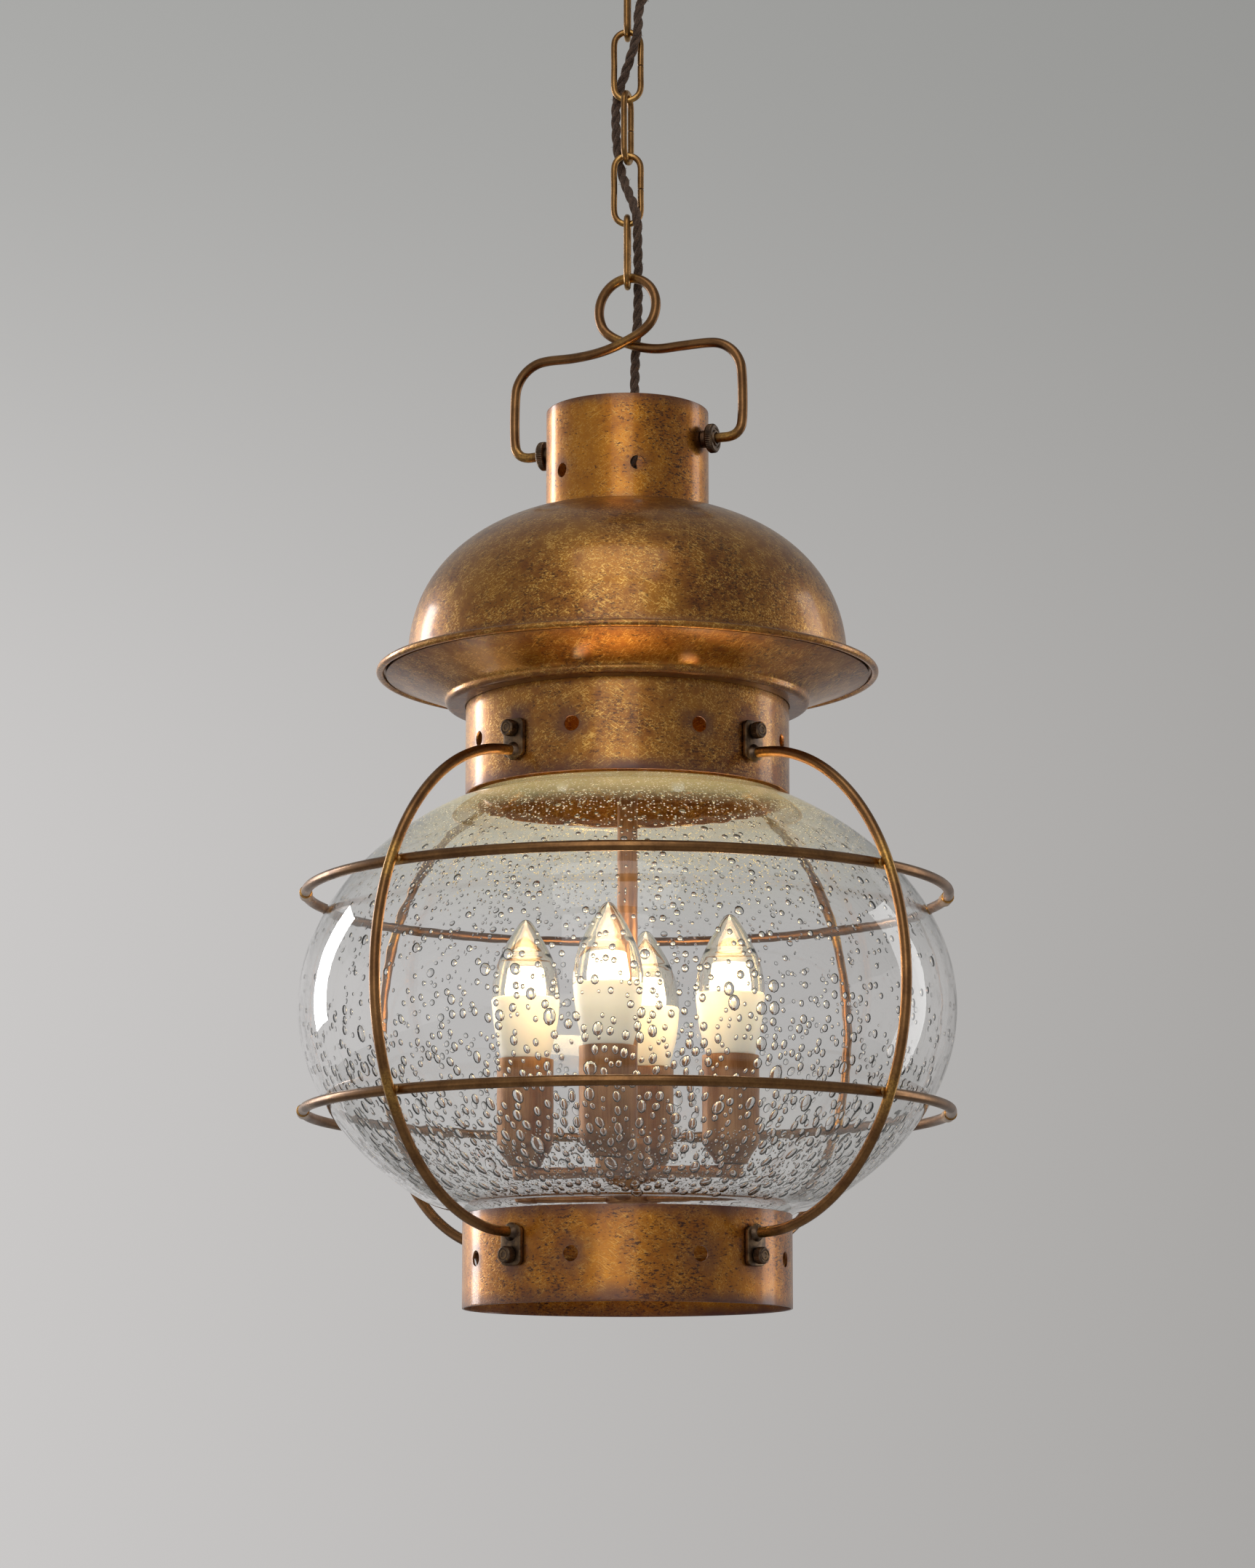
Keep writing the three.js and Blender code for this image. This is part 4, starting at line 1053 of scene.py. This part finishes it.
def make_lamp(name, angle):
    """A candle cover and its LED lamp: white body, clear cover and a glowing light guide."""
    place = (55 * math.cos(angle), 55 * math.sin(angle), 0)
    rows = [(15, -656 - 6 * i) for i in range(8)]
    cover = spun(soften([(15, -655.2, 0.3), *rows[1:], (15, -699.8, 1.2), (13.8, -703.8, 2), (9.5, -708.8, 1.5),
                         (8.5, -711.6, 0.6), (3, -711.6, 0.2), (3, -709.6), (7.5, -707.8, 1.2), (14.2, -701.8, 1.5),
                         (14.2, -655.2, 0.3)]), 64)
    body = spun(soften([(0, -693.4), (6.8, -693.4, 0.5), (6.8, -658.8), (11.8, -655.8, 0.4), (12.8, -654.8, 0.6),
                        (14.4, -648.4), (16.2, -640.8), (17.4, -632.4), (18.0, -625.4), (18.2, -623.4, 0.4),
                        (17.6, -622.6, 0.3), (16.9, -622.6), (16.5, -623.6), (0, -623.6)]), 64, closed=False)
    shell = [(18.0, -622.4), (18.1, -618), (17.65, -614), (16.4, -607.4), (14.2, -601.1), (11.0, -594.2), (7.6, -588.2),
             (5.2, -584.4), (3.3, -581.6), (1.6, -580.1), (0, -579.6)]
    shell = [(p.x, p.z) for p in smooth_path([(r, 0, z) for r, z in shell], 1.6)]
    inside = [(max(0, r - 1.1), z - (0.9 if z > -600 else 0.2 if z > -618 else 0)) for r, z in reversed(shell)]
    flame = spun([*shell, *inside], 56)
    crown = spun(soften([(0, -623.3), (10.4, -623.3, 0.5), (11.2, -618, 1.5), (10.2, -611.5, 1.5), (9.4, -606.2, 0.9),
                         (7.6, -606.2, 0.9), (5.6, -611.6, 1.6), (0, -613.2)]), 40, closed=False)
    for bm, label, material, crease, slot in ((cover, "candle_tube", satin, 38, "satin_brass"),
                                              (body, "lamp_body", white, 38, "bulb_white"),
                                              (flame, "lamp_cover", clear, 80, "bulb_white"),
                                              (crown, "light_guide", guide, 60, "bulb_white")):
        bmesh.ops.translate(bm, verts=bm.verts, vec=place)
        stands_for = f"candle_cover_{name}" if bm is cover else f"led_bulb_{name}"
        piece = make_piece(f"{label}_{name}", bm, material, "lantern", [stands_for], crease)
        if bm is flame:
            piece.visible_shadow = False
    light = bpy.data.lights.new(f"glow_{name}", "POINT")
    light.energy = 0.3
    light.color = colour("#ffd9a6")[:3]
    light.shadow_soft_size = 0.01
    glow = bpy.data.objects.new(f"glow_{name}", light)
    glow.location = Vector((place[0], place[1], -600)) * MM
    glow.parent = frame["bodies"]["lantern"]
    glow.visible_camera = False
    glow.visible_transmission = False
    bpy.context.scene.collection.objects.link(glow)


def make_cluster():
    stem = spun(soften([(5.4, -440, 0.3), *[(5.4, -446 - 12 * i) for i in range(21)], (5.4, -704, 0.3), (3.4, -704, 0.3),
                        (3.4, -440, 0.3)]), 40)
    make_piece("stem_pipe", stem, satin, "lantern", ["stem_tube"])
    nut = spun(soften([(5.8, -448.4), (11, -448.4, 0.4), (11, -442.4, 0.4), (8, -441.4, 0.4), (8, -432.7, 0.4),
                       (6, -430.7, 0.4), (3, -430.7, 0.3), (3, -439.7), (5.8, -439.7)]), 48)
    make_piece("stem_nut", nut, bronze, "lantern", ["stem_gland_nut"])
    hub = spun(soften([(6, -698, 0.3), (9, -698, 0.8), (12, -702, 1.5), (12, -722, 2.5), (5, -728, 1.5), (3, -729.4, 1.2),
                       (0, -729.4)][:-1] + [(0.01, -729.4), (0.01, -704.3), (6, -704.3)]), 56)
    for i in range(4):
        turn = Matrix.Rotation(math.radians(i * 90), 3, "Z")
        arm = bmesh.new()
        draw_wire(arm, [turn @ Vector((x, 0, -716)) for x in (9, 20, 32, 44, 55)], 4, 24)
        bmesh.ops.recalc_face_normals(arm, faces=arm.faces)
        take_in(hub, arm)
        cup = spun(soften([(0, -720.6), (5.6, -720.6, 1.0), (6.5, -718.4, 0.8), (6.5, -711.9, 0.4), (0, -711.9)]), 40, closed=False)
        bmesh.ops.translate(cup, verts=cup.verts, vec=turn @ Vector((55, 0, 0)))
        take_in(hub, cup)
    turn_all(hub, CLUSTER_TURN)
    make_piece("hub_and_arms", hub, satin, "lantern", ["cluster_hub"])
    for i, name in enumerate(("right", "back", "left", "front")):
        make_lamp(name, math.radians(CLUSTER_TURN + 90 * i))


def paint_hidden_parts():
    """The pieces inside the fittings keep their CAD shapes."""
    for name, material in (("ceiling_strap", steel), ("bridge_bar", steel), ("lamp_holder_right", ceramic),
                           ("lamp_holder_back", ceramic), ("lamp_holder_left", ceramic),
                           ("lamp_holder_front", ceramic)):
        data = frame["nodes"][name].data
        data.materials.clear()
        data.materials.append(material)


make_ceiling_fitting()
make_chain()
make_bail()
make_body()
make_glass()
make_guard()
make_cluster()
paint_hidden_parts()


# ---- studio ----
def softbox(name, place, size, power, tint="#ffffff", aim=(0, 0, -0.55)):
    data = bpy.data.lights.new(name, "AREA")
    data.shape = "RECTANGLE"
    data.size, data.size_y = size
    data.energy = power
    data.color = colour(tint)[:3]
    box = bpy.data.objects.new(name, data)
    box.location = place
    box.rotation_euler = (Vector(aim) - Vector(place)).to_track_quat("-Z", "Y").to_euler()
    box.visible_transmission = False
    bpy.context.scene.collection.objects.link(box)


def set_studio():
    bm = bmesh.new()
    bmesh.ops.create_grid(bm, x_segments=1, y_segments=1, size=6)
    bmesh.ops.translate(bm, verts=bm.verts, vec=(0, 0, -2.4))
    mesh = bpy.data.meshes.new("floor")
    bm.to_mesh(mesh)
    bm.free()
    mesh.materials.append(pale_paint())
    floor = bpy.data.objects.new("floor", mesh)
    bpy.context.scene.collection.objects.link(floor)

    softbox("front_box", (-0.5, -2.75, 0.35), (1.5, 2.1), 15)
    softbox("overhead_box", (-0.2, -1.3, 1.35), (1.5, 1.2), 9)
    softbox("back_left_box", (-1.6, 1.45, -0.15), (0.45, 1.1), 17)
    softbox("right_box", (2.0, 0.75, -0.35), (0.6, 2.0), 9)

    world = bpy.data.worlds.new("studio")
    bpy.context.scene.world = world
    world.use_nodes = True
    tree = world.node_tree
    tree.nodes.clear()
    way = node(tree, "ShaderNodeTexCoord").outputs["Generated"]
    up = node(tree, "ShaderNodeSeparateXYZ", {0: way})
    rise = node(tree, "ShaderNodeMapRange", {0: up.outputs["Z"], 1: 0.15, 2: 0.38}, interpolation_type="SMOOTHSTEP")
    across = node(tree, "ShaderNodeMapRange", {0: up.outputs["X"], 1: -0.1, 2: 0.2})
    left = node(tree, "ShaderNodeMix", {0: rise.outputs[0], 6: colour("#cac8c7"), 7: colour("#a8a8a6")},
                data_type="RGBA")
    right = node(tree, "ShaderNodeMix", {0: rise.outputs[0], 6: colour("#a9a7a5"), 7: colour("#969694")},
                 data_type="RGBA")
    grey = node(tree, "ShaderNodeMix", {0: across.outputs[0], 6: left.outputs[2], 7: right.outputs[2]},
                data_type="RGBA")
    sky = node(tree, "ShaderNodeBackground", {"Color": grey.outputs[2], "Strength": 1})
    node(tree, "ShaderNodeOutputWorld", {"Surface": sky.outputs[0]})

    scene = bpy.context.scene
    scene.view_settings.view_transform = "Standard"
    scene.cycles.max_bounces = 16
    scene.cycles.transmission_bounces = 16


set_studio()
